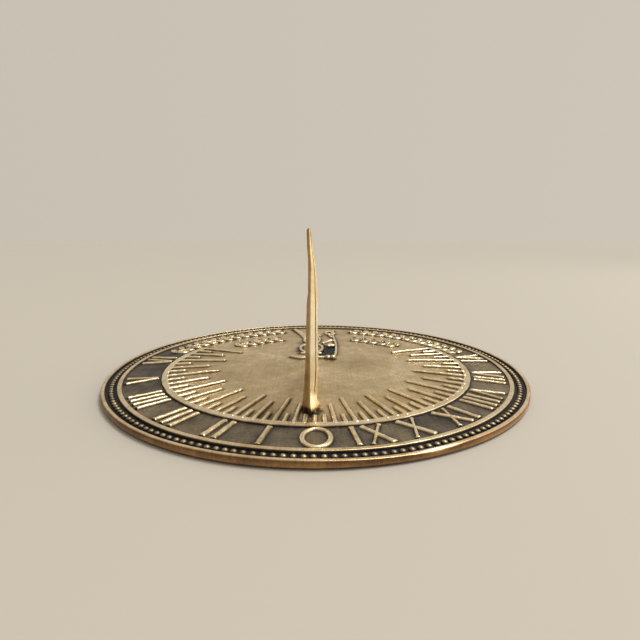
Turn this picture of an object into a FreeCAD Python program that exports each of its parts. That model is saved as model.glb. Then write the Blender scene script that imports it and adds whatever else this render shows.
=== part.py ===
import FreeCAD, Part
import math
import os

import Sketcher

# A horizontal garden sundial of cast brass, made for 45 degrees of latitude. It comes apart into the
# round dial plate, the upright gnomon and the two slotted screws that hold the gnomon from below.
# +Z is up, the noon mark points to -Y, and the origin is on the resting surface under the middle of
# the plate. Millimetres.

DRIVING_SIZES = {
    # plate, seen from the edge inwards
    "plate_radius": 127.0,
    "lug_rise": 0.6,
    "edge_height": 3.5,
    "edge_round": 0.7,
    "rim_width": 1.9,
    "channel_depth": 1.6,
    "channel_inner_radius": 118.9,
    "guard_ring_inner_radius": 116.5,
    "relief_height": 1.1,
    "hour_ring_outer_radius": 95.6,
    "hour_ring_inner_radius": 91.8,
    "hour_ring_half_angle": 118.0,
    # beads in the channel
    "bead_circle_radius": 121.9,
    "bead_radius": 1.6,
    "bead_height": 1.4,
    "bead_count": 192,
    # hour lines, which all point to the foot of the style
    "latitude": 45.0,
    "style_foot_offset": 10.2,
    "last_hour": 7,
    "bar_width": 2.2,
    "hour_bar_end_radius": 62.2,
    "half_hour_bar_end_radius": 69.2,
    "quarter_hour_bar_end_radius": 82.6,
    "noon_bar_end_radius": 83.4,
    # numerals
    "numeral_inner_radius": 97.2,
    "numeral_outer_radius": 114.9,
    "thick_stroke": 2.2,
    "thin_stroke": 1.3,
    "serif_length": 0.7,
    "letter_gap": 4.1,
    "noon_mark_half_width": 7.0,
    "noon_mark_half_height": 9.4,
    "noon_mark_stroke": 1.9,
    "noon_mark_shift": 0.8,
    # leaf rows behind the hour ring, each between two angles from noon
    "outer_leaf_row_radius": 105.5,
    "outer_leaf_row_start": 106.0,
    "outer_leaf_row_end": 165.0,
    "inner_leaf_row_radius": 79.0,
    "inner_leaf_row_start": 129.0,
    "inner_leaf_row_end": 158.0,
    "leaf_reach": 6.6,
    "leaf_width": 4.2,
    "leaf_pitch": 8.2,
    "stem_width": 1.7,
    # hourglass of the emblem, set a little towards the evening side
    "hourglass_shift": 4.0,
    "hourglass_foot": 29.0,
    "hourglass_waist": 57.0,
    "hourglass_head": 86.0,
    "board_half_width": 7.6,
    "bulb_half_width": 8.2,
    "neck_half_width": 1.6,
    "emblem_panel_depth": 0.8,
    # gnomon, set a little towards the evening side
    "gnomon_shift": 1.5,
    "style_height": 85.8,
    "web_thickness": 3.0,
    "band_thickness": 4.4,
    "band_width": 6.5,
    "north_edge_lean": 3.2,
    "blade_keel_width": 6.0,
    "blade_foot_width": 8.4,
    "blade_low_width": 6.2,
    "blade_tip_width": 2.2,
    "blade_depth": 5.0,
    "keel_setback": 0.2,
    "bow_reach": 3.6,
    "bow_height": 3.0,
    "blade_low_height": 11.0,
    "roundel_radius": 11.5,
    "roundel_inset": 18.4,
    "lens_near": 34.0,
    "lens_far": 52.0,
    "lens_near_inset": 7.0,
    "lens_far_inset": 1.5,
    "lens_width": 7.5,
    "boss_radius": 2.7,
    "boss_height": 10.2,
    # fasteners, M4
    "screw_length": 10.0,
    "screw_core_radius": 1.62,
    "screw_shank_radius": 2.0,
    "screw_head_radius": 3.75,
    "screw_head_rim": 0.25,
    "screw_slot_width": 1.0,
    "screw_slot_depth": 0.9,
    "clearance_radius": 2.25,
    "countersink_radius": 4.0,
    "tapped_radius": 1.65,
    "gnomon_tap_depth": 8.6,
    "front_screw_offset": 70.0,
    "rear_screw_offset": 12.0,
    # lugs under the plate, tapped M4 for studs
    "lug_count": 3,
    "lug_circle_radius": 93.7,
    "lug_radius": 7.0,
    "lug_tap_depth": 2.4,
}

ROOT = 0.2  # how far raised work reaches down into the plate, so that the casting is one solid
CLEARLY = 1.0  # by how much a cutting shape passes the face that it cuts

doc = FreeCAD.newDocument("sundial")
sheet = doc.addObject("Spreadsheet::Sheet", "sizes")
for row, (alias, value) in enumerate(DRIVING_SIZES.items(), 1):
    sheet.set(f"A{row}", alias)
    sheet.set(f"B{row}", str(value))
    sheet.setAlias(f"B{row}", alias)
doc.recompute()


def size(alias):
    return float(sheet.get(alias))


def total(terms):
    """The sum of named sizes, as in 'lug_rise edge_height -relief_height'."""
    return sum(-size(term[1:]) if term.startswith("-") else size(term) for term in terms.split())


def formula(terms):
    """The same sum as an expression on the sheet."""
    signed = [("- sizes." + t[1:]) if t.startswith("-") else ("+ sizes." + t) for t in terms.split()]
    return " ".join(signed).removeprefix("+ ")


TOP = "lug_rise edge_height"  # the height of the rim, the rings and all raised work
GROUND = "lug_rise edge_height -relief_height"  # the height of the flat ground between them


def new_body(name):
    body = doc.addObject("PartDesign::Body", name)
    body.Label = name
    return body


def new_sketch(body, name, plane="XY_Plane", height="", sunk=0.0):
    """A sketch on one of the body's own planes, lifted by a sum of sizes and sunk by a fixed amount."""
    sketch = body.newObject("Sketcher::SketchObject", name)
    support = [f for f in body.Origin.OriginFeatures if f.Role == plane][0]
    sketch.AttachmentSupport = [(support, "")]
    sketch.MapMode = "FlatFace"
    if height:
        sketch.setExpression("AttachmentOffset.Base.z", f"{formula(height)} - {sunk}")
    return sketch


def bind(sketch, axis, point, terms):
    """Holds one end of a line at a sum of sizes along X or Y, or on the axis where there are none."""
    if not terms:
        across = -2 if axis == "X" else -1
        sketch.addConstraint(Sketcher.Constraint("PointOnObject", point, 1, across))
        return
    held = Sketcher.Constraint("Distance" + axis, -1, 1, point, 1, total(terms))
    number = sketch.addConstraint(held)
    sketch.setExpression(f"Constraints[{number}]", formula(terms))


def bound_outline(sketch, corners):
    """A closed outline of straight lines whose corners are pairs of sums of sizes."""
    points = [FreeCAD.Vector(total(x), total(y), 0) for x, y in corners]
    ends = points[1:] + points[:1]
    lines = sketch.addGeometry([Part.LineSegment(a, b) for a, b in zip(points, ends)], False)
    for here, after in zip(lines, lines[1:] + lines[:1]):
        sketch.addConstraint(Sketcher.Constraint("Coincident", here, 2, after, 1))
    for line, (x, y) in zip(lines, corners):
        bind(sketch, "X", line, x)
        bind(sketch, "Y", line, y)


def free_outline(sketch, points):
    """A closed outline of straight lines through points that follow from the sizes."""
    ends = points[1:] + points[:1]
    sketch.addGeometry([Part.LineSegment(a, b) for a, b in zip(points, ends)], False)


def lens(sketch, tip, tail, width):
    """A pointed oval between two points, as two arcs."""
    middle = (tip + tail) / 2
    along = (tail - tip).normalize()
    aside = FreeCAD.Vector(-along.y, along.x, 0) * (width / 2)
    sketch.addGeometry([Part.Arc(tip, middle + aside, tail), Part.Arc(tail, middle - aside, tip)], False)


def pad(body, sketch, length, name, **options):
    raised = body.newObject("PartDesign::Pad", name)
    raised.Profile = sketch
    raised.setExpression("Length", length)
    for option, value in options.items():
        setattr(raised, option, value)
    return raised


def raise_relief(body, sketch, name):
    """Casts a sketch that lies just under the ground up to the height of the rings."""
    return pad(body, sketch, f"sizes.relief_height + {ROOT}", name)


def relief_sketch(body, name):
    return new_sketch(body, name, height=GROUND, sunk=ROOT)


def cut(body, sketch, length, name, downwards=False):
    """Pockets a sketch and makes sure that it took something away."""
    before = body.Shape.Volume
    pocket = body.newObject("PartDesign::Pocket", name)
    pocket.Profile = sketch
    pocket.Reversed = not downwards
    pocket.setExpression("Length", length)
    doc.recompute()
    if not body.Shape.Volume < before:
        raise RuntimeError(f"{name} cuts nothing")
    return pocket


def hour_angle(hours):
    """The angle of an hour line from noon, in radians, on a horizontal dial."""
    if abs(hours) == 6:
        return math.copysign(math.pi / 2, hours)
    sun = math.radians(15 * hours)
    slope = math.sin(math.radians(size("latitude"))) * math.tan(sun)
    beyond = math.copysign(math.pi, hours) if abs(hours) > 6 else 0
    return math.atan(slope) + beyond


def on_line(angle, radius):
    """Where a line from the style's foot, at an angle from noon, meets a circle about the middle."""
    foot = size("style_foot_offset")
    reach = foot * math.cos(angle) + math.sqrt(radius**2 - (foot * math.sin(angle)) ** 2)
    return FreeCAD.Vector(-reach * math.sin(angle), foot - reach * math.cos(angle), 0)


def on_plate(angle_deg, radius):
    """A point at an angle from noon about the middle of the plate."""
    angle = math.radians(angle_deg)
    return FreeCAD.Vector(-radius * math.sin(angle), -radius * math.cos(angle), 0)


def bar_points(start, end, width):
    along = (end - start).normalize()
    aside = FreeCAD.Vector(-along.y, along.x, 0) * (width / 2)
    return [start - aside, end - aside, end + aside, start + aside]


def stroke_points(start, end, width):
    """A numeral's stroke, a little wider over a short length at each end."""
    along = (end - start).normalize()
    aside = FreeCAD.Vector(-along.y, along.x, 0)
    serif = size("serif_length")
    half = width / 2
    wide = half + serif
    near = start + along * serif
    far = end - along * serif
    left = [start - aside * wide, near - aside * half, far - aside * half, end - aside * wide]
    right = [end + aside * wide, far + aside * half, near + aside * half, start + aside * wide]
    return left + right


# Each letter is a width and its thick and thin strokes, as places across it at its foot and its head.
LETTERS = {
    "I": (1.2, [(0.0, 0.0)], []),
    "V": (8.6, [(-0.3, -4.2)], [(0.3, 4.2)]),
    "X": (9.6, [(4.7, -4.7)], [(-4.4, 4.4)]),
}
MORNING = {-1: "XI", -2: "X", -3: "IX", -4: "VIII", -5: "VII", -6: "VI"}
AFTERNOON = {1: "I", 2: "II", 3: "III", 4: "IIII", 5: "V", 6: "VI"}
# How far the pattern maker set a numeral off its hour line, towards the evening.
OFF_LINE = {-1: -2.6, -2: -0.9, -4: -1.4, -5: -3.8, -6: -4.6, 2: -1.8, 3: -1.5, 4: -1.2, 5: -2.3}


def numeral_strokes():
    """Every numeral's strokes as (start, end, thick or not), with the tops of the letters outwards."""
    inner = size("numeral_inner_radius")
    outer = size("numeral_outer_radius")
    style_foot = FreeCAD.Vector(0, size("style_foot_offset"), 0)
    strokes = []
    for hour, text in {**MORNING, **AFTERNOON}.items():
        angle = hour_angle(hour)
        reach = (on_line(angle, (inner + outer) / 2) - style_foot).Length
        across = -(sum(LETTERS[c][0] for c in text) + size("letter_gap") * (len(text) - 1)) / 2
        across += OFF_LINE.get(hour, 0)
        for letter in text:
            width, thick, thin = LETTERS[letter]
            middle = across + width / 2
            for lines, is_thick in ((thick, True), (thin, False)):
                for foot, head in lines:
                    start = on_line(angle + (middle + foot) / reach, inner)
                    end = on_line(angle + (middle + head) / reach, outer)
                    strokes.append((start, end, is_thick))
            across += width + size("letter_gap")
    return strokes


def make_dial_plate():
    body = new_body("dial_plate")
    profile = new_sketch(body, "plate_section", plane="XZ_Plane")
    rim_inner = "plate_radius -rim_width"
    channel_floor = TOP + " -channel_depth"
    corners = [
        ("", "lug_rise"),
        ("plate_radius -edge_round", "lug_rise"),
        ("plate_radius", "lug_rise edge_round"),
        ("plate_radius", TOP),
        (rim_inner, TOP),
        (rim_inner, channel_floor),
        ("channel_inner_radius", channel_floor),
        ("channel_inner_radius", TOP),
        ("guard_ring_inner_radius", TOP),
        ("guard_ring_inner_radius", GROUND),
        ("", GROUND),
    ]
    bound_outline(profile, corners)
    turned = body.newObject("PartDesign::Revolution", "turned_plate")
    turned.Profile = profile
    turned.ReferenceAxis = (profile, ["V_Axis"])
    turned.Angle = 360
    doc.recompute()

    add_hour_ring(body)
    add_hour_bars(body)
    add_numerals(body)
    add_noon_mark(body)
    add_leaf_rows(body)
    add_emblem(body)
    add_lugs(body)
    add_gnomon_holes(body)
    add_beads(body)
    return body


def add_hour_ring(body):
    """The flat ring inside the numerals, open at the back of the dial."""
    sketch = relief_sketch(body, "hour_ring_outline")
    inner = size("hour_ring_inner_radius")
    outer = size("hour_ring_outer_radius")
    half = size("hour_ring_half_angle")
    outer_arc = Part.Arc(on_plate(-half, outer), on_plate(0, outer), on_plate(half, outer))
    inner_arc = Part.Arc(on_plate(half, inner), on_plate(0, inner), on_plate(-half, inner))
    ends = [(on_plate(half, outer), on_plate(half, inner)), (on_plate(-half, inner), on_plate(-half, outer))]
    sketch.addGeometry([outer_arc, inner_arc] + [Part.LineSegment(a, b) for a, b in ends], False)
    raise_relief(body, sketch, "hour_ring")
    doc.recompute()


def add_hour_bars(body):
    """A bar for each quarter of an hour, the longest on the hours."""
    sketch = relief_sketch(body, "hour_bar_outlines")
    quarters = int(4 * size("last_hour"))
    start_radius = (size("hour_ring_inner_radius") + size("hour_ring_outer_radius")) / 2
    for quarter in range(-quarters, quarters + 1):
        end_alias = "quarter_hour_bar_end_radius"
        if quarter % 2 == 0:
            end_alias = "half_hour_bar_end_radius"
        if quarter % 4 == 0:
            end_alias = "hour_bar_end_radius"
        if quarter == 0:
            end_alias = "noon_bar_end_radius"
        angle = hour_angle(quarter / 4)
        start = on_line(angle, start_radius)
        end = on_line(angle, size(end_alias))
        free_outline(sketch, bar_points(start, end, size("bar_width")))
    raise_relief(body, sketch, "hour_bars")
    doc.recompute()


def add_numerals(body):
    """Thick and thin strokes cross, so each kind is cast from a sketch of its own."""
    for name, wanted, width in (("thick", True, "thick_stroke"), ("thin", False, "thin_stroke")):
        sketch = relief_sketch(body, f"{name}_stroke_outlines")
        for start, end, is_thick in numeral_strokes():
            if is_thick == wanted:
                free_outline(sketch, stroke_points(start, end, size(width)))
        raise_relief(body, sketch, f"{name}_strokes")
        doc.recompute()


def add_noon_mark(body):
    """An upright oval ring in place of a numeral at noon."""
    sketch = relief_sketch(body, "noon_mark_outline")
    middle = on_plate(0, (size("numeral_inner_radius") + size("numeral_outer_radius")) / 2)
    middle.x += size("noon_mark_shift")
    for inset in (0, size("noon_mark_stroke")):
        half_height = size("noon_mark_half_height") - inset
        half_width = size("noon_mark_half_width") - inset
        head = middle + FreeCAD.Vector(0, -half_height, 0)
        side = middle + FreeCAD.Vector(half_width, 0, 0)
        sketch.addGeometry(Part.Ellipse(head, side, middle), False)
    raise_relief(body, sketch, "noon_mark")
    doc.recompute()


LEAF_LEAN = 0.6  # how far a leaf leans along its stem, in leaf pitches
LEAF_ROOT = 0.8  # how far a leaf starts from the middle of its stem


def leaf_rows():
    """Each row's side, radius and first and last angle."""
    parts = ("radius", "start", "end")
    rows = [[size(f"{name}_leaf_row_{part}") for part in parts] for name in ("outer", "inner")]
    return [(side, *row) for side in (-1, 1) for row in rows]


def add_leaf_rows(body):
    """Two rows of leafy stems on each side, filling the back of the dial."""
    stems = relief_sketch(body, "stem_outlines")
    leaves = relief_sketch(body, "leaf_outlines")
    for side, radius, first, last in leaf_rows():
        half = size("stem_width") / 2
        middle = (first + last) / 2
        inner, outer = radius - half, radius + half
        arcs = [[on_plate(side * angle, r) for angle in (first, middle, last)] for r in (inner, outer)]
        lines = [Part.LineSegment(arcs[0][i], arcs[1][i]) for i in (0, 2)]
        stems.addGeometry([Part.Arc(*arc) for arc in arcs] + lines, False)
        step = math.degrees(size("leaf_pitch") / radius)
        lean = step * LEAF_LEAN
        angle = first
        while angle + lean < last:
            for outwards in (-1, 1):
                tail = on_plate(side * angle, radius + outwards * LEAF_ROOT)
                tip = on_plate(side * (angle + lean), radius + outwards * size("leaf_reach"))
                lens(leaves, tip, tail, size("leaf_width"))
            angle += step
    raise_relief(body, stems, "stems")
    doc.recompute()
    raise_relief(body, leaves, "leaves")
    doc.recompute()


def flat_points(corners):
    return [FreeCAD.Vector(x, y, 0) for x, y in corners]


# Corners of the sunk panel, the middle line of the scythe's handle, and the point, belly, heel and back
# of its blade.
PANEL = [(3.3, 21.6), (13.0, 21.2), (14.4, 50.0), (13.6, 57.6), (5.2, 54.6), (3.2, 34.0)]
HANDLE = [(11.8, 15.6), (15.6, 44.0), (15.8, 60.0), (14.2, 88.0), (14.8, 106.0)]
BLADE = [(-19.4, 18.6), (-4.0, 14.2), (11.0, 15.0), (-4.0, 17.2)]


def add_emblem(body):
    """An hourglass with a scythe beside it, and a sunk panel between the two."""
    panel = new_sketch(body, "emblem_panel_outline", height=GROUND, sunk=-CLEARLY)
    free_outline(panel, flat_points(PANEL))
    doc.recompute()
    cut(body, panel, f"{CLEARLY} + sizes.emblem_panel_depth", "emblem_panel", downwards=True)

    glass = relief_sketch(body, "hourglass_outline")
    middle = -size("hourglass_shift")
    waist = size("hourglass_waist")
    board = size("board_half_width")
    for end in (size("hourglass_foot"), size("hourglass_head")):
        for side in (-1, 1):
            on_board = FreeCAD.Vector(middle + side * board, end, 0)
            bulge = FreeCAD.Vector(middle + side * size("bulb_half_width"), (end + waist) / 2, 0)
            neck = FreeCAD.Vector(middle + side * size("neck_half_width"), waist, 0)
            glass.addGeometry(Part.Arc(on_board, bulge, neck), False)
        ends = flat_points([(middle - board, end), (middle + board, end)])
        glass.addGeometry(Part.LineSegment(*ends), False)
    raise_relief(body, glass, "hourglass")
    doc.recompute()

    handle = relief_sketch(body, "scythe_handle_outline")
    half = FreeCAD.Vector(size("stem_width") / 2, 0, 0)
    line = flat_points(HANDLE)
    free_outline(handle, [point - half for point in line] + [point + half for point in reversed(line)])
    raise_relief(body, handle, "scythe_handle")
    doc.recompute()

    blade = relief_sketch(body, "scythe_blade_outline")
    tip, belly, heel, back = flat_points(BLADE)
    blade.addGeometry([Part.Arc(tip, belly, heel), Part.Arc(heel, back, tip)], False)
    raise_relief(body, blade, "scythe_blade")
    doc.recompute()


def add_lugs(body):
    """Low round lugs that the plate stands on, each tapped for a stud."""
    lugs = new_sketch(body, "lug_outlines")
    taps = new_sketch(body, "lug_tap_outlines")
    upwards = FreeCAD.Vector(0, 0, 1)
    count = int(size("lug_count"))
    for i in range(count):
        middle = on_plate(360 * i / count, size("lug_circle_radius"))
        lugs.addGeometry(Part.Circle(middle, upwards, size("lug_radius")), False)
        taps.addGeometry(Part.Circle(middle, upwards, size("tapped_radius")), False)
    pad(body, lugs, f"sizes.lug_rise + {ROOT}", "lugs")
    doc.recompute()
    cut(body, taps, "sizes.lug_tap_depth", "lug_taps")


def screw_places():
    return {"front": -size("front_screw_offset"), "rear": -size("rear_screw_offset")}


def add_gnomon_holes(body):
    """Two clearance holes for the gnomon's screws, countersunk from below."""
    for name, y in screw_places().items():
        sketch = new_sketch(body, f"{name}_hole_section", plane="YZ_Plane")
        sketch.setExpression("AttachmentOffset.Base.z", "-sizes.gnomon_shift")
        under = size("lug_rise")
        wide = size("countersink_radius")
        narrow = size("clearance_radius")
        above = total(GROUND) + CLEARLY
        section = [(0, under - CLEARLY), (wide, under - CLEARLY), (wide, under),
                   (narrow, under + wide - narrow), (narrow, above), (0, above)]
        free_outline(sketch, [FreeCAD.Vector(y + r, z, 0) for r, z in section])
        sketch.addGeometry(
            Part.LineSegment(FreeCAD.Vector(y, 0, 0), FreeCAD.Vector(y, above, 0)), True)
        before = body.Shape.Volume
        hole = body.newObject("PartDesign::Groove", f"{name}_hole")
        hole.Profile = sketch
        hole.ReferenceAxis = (sketch, ["Axis0"])
        hole.Angle = 360
        doc.recompute()
        if not body.Shape.Volume < before:
            raise RuntimeError(f"{name}_hole cuts nothing")


def add_beads(body):
    """One bead on the channel's floor, repeated round the plate."""
    sketch = new_sketch(body, "bead_section", plane="YZ_Plane")
    radius = size("bead_radius")
    height = size("bead_height")
    y = -size("bead_circle_radius")
    floor = total(TOP + " -channel_depth")
    ball = (radius**2 + height**2) / (2 * height)  # radius of the ball that the bead is the top of
    half_way = math.asin(radius / ball) / 2
    foot = FreeCAD.Vector(y, floor - ROOT, 0)
    crown = FreeCAD.Vector(y, floor + height, 0)
    side_low = FreeCAD.Vector(y + radius, floor - ROOT, 0)
    side_high = FreeCAD.Vector(y + radius, floor, 0)
    bend = FreeCAD.Vector(y + ball * math.sin(half_way), crown.y - ball * (1 - math.cos(half_way)), 0)
    edges = [Part.LineSegment(foot, side_low), Part.LineSegment(side_low, side_high),
             Part.Arc(side_high, bend, crown), Part.LineSegment(crown, foot)]
    sketch.addGeometry(edges, False)
    sketch.addGeometry(Part.LineSegment(foot, crown), True)
    bead = body.newObject("PartDesign::Revolution", "bead")
    bead.Profile = sketch
    bead.ReferenceAxis = (sketch, ["Axis0"])
    bead.Angle = 360
    doc.recompute()
    ring = body.newObject("PartDesign::PolarPattern", "beads")
    ring.Originals = [bead]
    ring.Axis = ([f for f in body.Origin.OriginFeatures if f.Role == "Z_Axis"][0], [""])
    ring.Angle = 360
    ring.setExpression("Occurrences", "sizes.bead_count")
    body.Tip = ring
    doc.recompute()


FACET_SLOPE = 0.8  # how far a blade's facet runs back for each millimetre that it runs out
BACK_SHARE = 0.8  # width of a blade's back, as a share of its width at the shoulders
TIP_DEPTH_SHARE = 0.45  # depth of the blade at its tip, as a share of its depth elsewhere
TIP_ROUND = 0.4  # how far the web's top stops short of the tip, both ways
TIP_NECK = 2.0  # how far below the tip the web's north edge starts
BAND_END_SHARE = 0.75  # how much of the north band's width the band's opening keeps clear of the tip


def make_gnomon():
    """A pierced triangular casting: a sloping style, a ridged north blade and a base bar."""
    body = new_body("gnomon")
    ground = total(GROUND)
    lean = size("north_edge_lean")
    tip_y = size("style_foot_offset") - size("style_height") / math.tan(math.radians(size("latitude")))
    tip_z = total(TOP) + size("style_height")
    north_y = tip_y - lean + size("blade_depth") / 2
    south_y = size("style_foot_offset") + size("relief_height")
    head = [(tip_y + TIP_ROUND, tip_z - TIP_ROUND), (tip_y, tip_z - TIP_NECK)]
    outside = [(north_y, ground), (south_y, ground), *head]
    band = size("band_width")
    inner_y = north_y + band
    inner_z = ground + band

    web = new_sketch(body, "web_outline", plane="YZ_Plane")
    free_outline(web, flat_points(outside))
    inset = size("roundel_inset")
    roundel = FreeCAD.Vector(inner_y + inset, inner_z + inset, 0)
    web.addGeometry(Part.Circle(roundel, FreeCAD.Vector(0, 0, 1), size("roundel_radius")), False)
    near, near_inset = size("lens_near"), size("lens_near_inset")
    far, far_inset = size("lens_far"), size("lens_far_inset")
    corner = FreeCAD.Vector(inner_y, inner_z, 0)
    for tip, tail in (((far_inset, far), (near_inset, near)), ((far, far_inset), (near, near_inset))):
        lens(web, corner + FreeCAD.Vector(*tip, 0), corner + FreeCAD.Vector(*tail, 0), size("lens_width"))
    pad(body, web, "sizes.web_thickness", "web", Midplane=True)
    doc.recompute()

    frame = new_sketch(body, "band_outline", plane="YZ_Plane")
    free_outline(frame, flat_points(outside))
    slanted = band / math.sin(math.radians(size("latitude")))
    opening = [(inner_y, inner_z), (south_y - slanted - band, inner_z),
               (inner_y, tip_z - slanted - band * BAND_END_SHARE)]
    free_outline(frame, flat_points(opening))
    pad(body, frame, "sizes.band_thickness", "band", Midplane=True)
    doc.recompute()

    # Sections of the blade from its keel up: height, where its ridge lies, width and depth.
    ridge = tip_y - lean
    depth = size("blade_depth")
    sections = [
        ("keel", ground, ridge - size("keel_setback"), size("blade_keel_width"), depth),
        ("bow", ground + size("bow_height"), ridge - size("bow_reach"), size("blade_foot_width"), depth),
        ("low", ground + size("blade_low_height"), ridge, size("blade_low_width"), depth),
        ("tip", tip_z, tip_y, size("blade_tip_width"), depth * TIP_DEPTH_SHARE),
    ]
    sketches = []
    for name, height, ridge_y, width, deep in sections:
        sketch = new_sketch(body, f"blade_{name}_section")
        sketch.AttachmentOffset = FreeCAD.Placement(FreeCAD.Vector(0, 0, height), FreeCAD.Rotation())
        half = width / 2
        shoulder = ridge_y + half * FACET_SLOPE
        back = max(ridge_y + deep, shoulder + CLEARLY)
        corners = [(0, ridge_y), (half, shoulder), (half * BACK_SHARE, back),
                   (-half * BACK_SHARE, back), (-half, shoulder)]
        free_outline(sketch, flat_points(corners))
        sketches.append(sketch)
    doc.recompute()
    blade = body.newObject("PartDesign::AdditiveLoft", "north_blade")
    blade.Profile = sketches[0]
    blade.Sections = sketches[1:]
    blade.Ruled = True
    doc.recompute()

    bosses = new_sketch(body, "boss_outlines", height=GROUND)
    taps = new_sketch(body, "tap_outlines", height=GROUND)
    for sketch, radius in ((bosses, "boss_radius"), (taps, "tapped_radius")):
        for y in screw_places().values():
            circle = Part.Circle(FreeCAD.Vector(0, y, 0), FreeCAD.Vector(0, 0, 1), size(radius))
            sketch.addGeometry(circle, False)
    pad(body, bosses, "sizes.boss_height", "bosses")
    doc.recompute()
    cut(body, taps, "sizes.gnomon_tap_depth", "taps")
    body.setExpression("Placement.Base.x", "-sizes.gnomon_shift")
    return body


def make_screw(name, y):
    """A slotted countersunk screw, its thread drawn as a plain rod of the tapping size."""
    body = new_body(name)
    section = new_sketch(body, f"{name}_section", plane="XZ_Plane")
    head_top = "screw_head_rim screw_head_radius -screw_shank_radius"
    shank_top = "edge_height -relief_height"
    corners = [
        ("", ""),
        ("screw_head_radius", ""),
        ("screw_head_radius", "screw_head_rim"),
        ("screw_shank_radius", head_top),
        ("screw_shank_radius", shank_top),
        ("screw_core_radius", shank_top),
        ("screw_core_radius", "screw_length"),
        ("", "screw_length"),
    ]
    bound_outline(section, corners)
    turned = body.newObject("PartDesign::Revolution", f"{name}_turned")
    turned.Profile = section
    turned.ReferenceAxis = (section, ["V_Axis"])
    turned.Angle = 360
    doc.recompute()
    slot = new_sketch(body, f"{name}_slot_outline")
    half = size("screw_slot_width") / 2
    reach = size("screw_head_radius") + CLEARLY
    free_outline(slot, [FreeCAD.Vector(x, y, 0) for x, y in
                        ((-half, -reach), (half, -reach), (half, reach), (-half, reach))])
    doc.recompute()
    cut(body, slot, "sizes.screw_slot_depth", f"{name}_slot")
    place = FreeCAD.Vector(-size("gnomon_shift"), y, size("lug_rise"))
    body.Placement = FreeCAD.Placement(place, FreeCAD.Rotation())
    return body


dial_plate = make_dial_plate()
gnomon = make_gnomon()
screws = [make_screw(f"gnomon_screw_{name}", y) for name, y in screw_places().items()]
doc.recompute()

failed = [item.Name for item in doc.Objects if {"Invalid", "Error"} & set(item.State)]
if failed:
    raise RuntimeError(f"failed: {failed}")

os.makedirs("parts", exist_ok=True)
for body in [dial_plate, gnomon, *screws]:
    shape = body.Shape
    if shape.isNull() or not shape.isValid() or len(shape.Solids) != 1:
        raise RuntimeError(f"{body.Label} is not one sound solid")
    shape.exportStep(f"parts/{body.Label}.step")
    print(f"{body.Label}: {shape.Volume / 1000:.1f} cm3, {len(shape.Faces)} faces, {shape.BoundBox}")
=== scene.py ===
import math

import bmesh
import bpy
import numpy as np
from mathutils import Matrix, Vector, geometry, kdtree


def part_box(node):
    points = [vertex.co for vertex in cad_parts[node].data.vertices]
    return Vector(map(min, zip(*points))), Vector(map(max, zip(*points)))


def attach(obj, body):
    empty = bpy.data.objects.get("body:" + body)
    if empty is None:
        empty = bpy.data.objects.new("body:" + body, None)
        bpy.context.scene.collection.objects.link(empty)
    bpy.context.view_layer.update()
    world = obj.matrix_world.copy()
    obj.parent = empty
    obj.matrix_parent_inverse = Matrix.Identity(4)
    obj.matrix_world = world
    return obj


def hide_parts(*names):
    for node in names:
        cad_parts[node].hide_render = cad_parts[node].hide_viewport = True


# A cast brass garden sundial: one round plate with all its raised work, an upright gnomon and two
# screws from below. Shapes are worked out in millimetres in the frame's own axes and turned to
# metres when a mesh is made. +Z is up and the noon mark points to -Y.

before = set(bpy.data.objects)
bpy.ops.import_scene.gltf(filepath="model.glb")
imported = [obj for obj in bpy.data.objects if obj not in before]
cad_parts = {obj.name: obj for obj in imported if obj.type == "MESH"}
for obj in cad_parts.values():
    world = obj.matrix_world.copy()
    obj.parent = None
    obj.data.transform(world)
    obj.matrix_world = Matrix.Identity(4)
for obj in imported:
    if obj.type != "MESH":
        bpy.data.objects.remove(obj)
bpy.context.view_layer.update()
_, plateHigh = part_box("dial_plate")
gnomonLow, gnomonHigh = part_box("gnomon")
perMetre = 1000.0
chance = np.random.default_rng(45)  # every bit of hand-made unevenness comes from here
print("frame loaded")


dial = {
    "radius": plateHigh.x * perMetre,
    "rimTop": plateHigh.z * perMetre,
    "ground": gnomonLow.z * perMetre,  # the gnomon stands on the ground between the raised work
    "underside": 0.6,
    "edgeRound": 0.7,
    "rimWidth": 1.9,
    "channelDepth": 1.6,
    "channelInner": 118.9,
    "guardRingInner": 116.5,
    "hourRingOuter": 95.6,
    "hourRingInner": 91.8,
    "hourRingHalfAngle": 118.0,
    "styleFoot": 10.2,
    "latitude": 45.0,
    "segments": 600,
    "ringSteps": [(2, 20, 3.0), (20, 75, 1.0)],  # rings of the flat ground: from, to and apart
    "outerRingStep": 0.8,
    # how far each corner of the moulding is rounded, from the guard ring out to the rim's inner edge
    "corners": [0.3, 0.3, 0.35, 0.35, 0.35, 0.35],
    "rimRound": 0.5,
}
relief = dial["rimTop"] - dial["ground"]


def hourAngle(hours):
    # angle of an hour line from noon on a horizontal dial, positive in the afternoon
    if abs(hours) == 6:
        return math.copysign(math.pi / 2, hours)
    slope = math.sin(math.radians(dial["latitude"])) * math.tan(math.radians(15 * hours))
    beyond = math.copysign(math.pi, hours) if abs(hours) > 6 else 0
    return math.atan(slope) + beyond


def onLine(angle, radius):
    # where a line from the style's foot meets a circle about the middle of the plate
    foot = dial["styleFoot"]
    reach = foot * math.cos(angle) + math.sqrt(radius**2 - (foot * math.sin(angle)) ** 2)
    return np.array([-reach * math.sin(angle), foot - reach * math.cos(angle)])


def onPlate(degrees, radius):
    angle = np.radians(degrees)
    return np.stack([-radius * np.sin(angle), -radius * np.cos(angle)], axis=-1)


# the plate is a hand-finished casting: slightly wavy, and its edge dips a little beside noon
unevenPlate = {
    "dipDeep": 0.32,
    "dipAngle": -15.0,  # degrees from noon, positive on the evening side
    "dipSpread": 8.0,
    "waves": [(0.07, 3, 40.0), (0.05, 7, 0.0)],  # rise, number round the plate and turn in degrees
}


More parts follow.
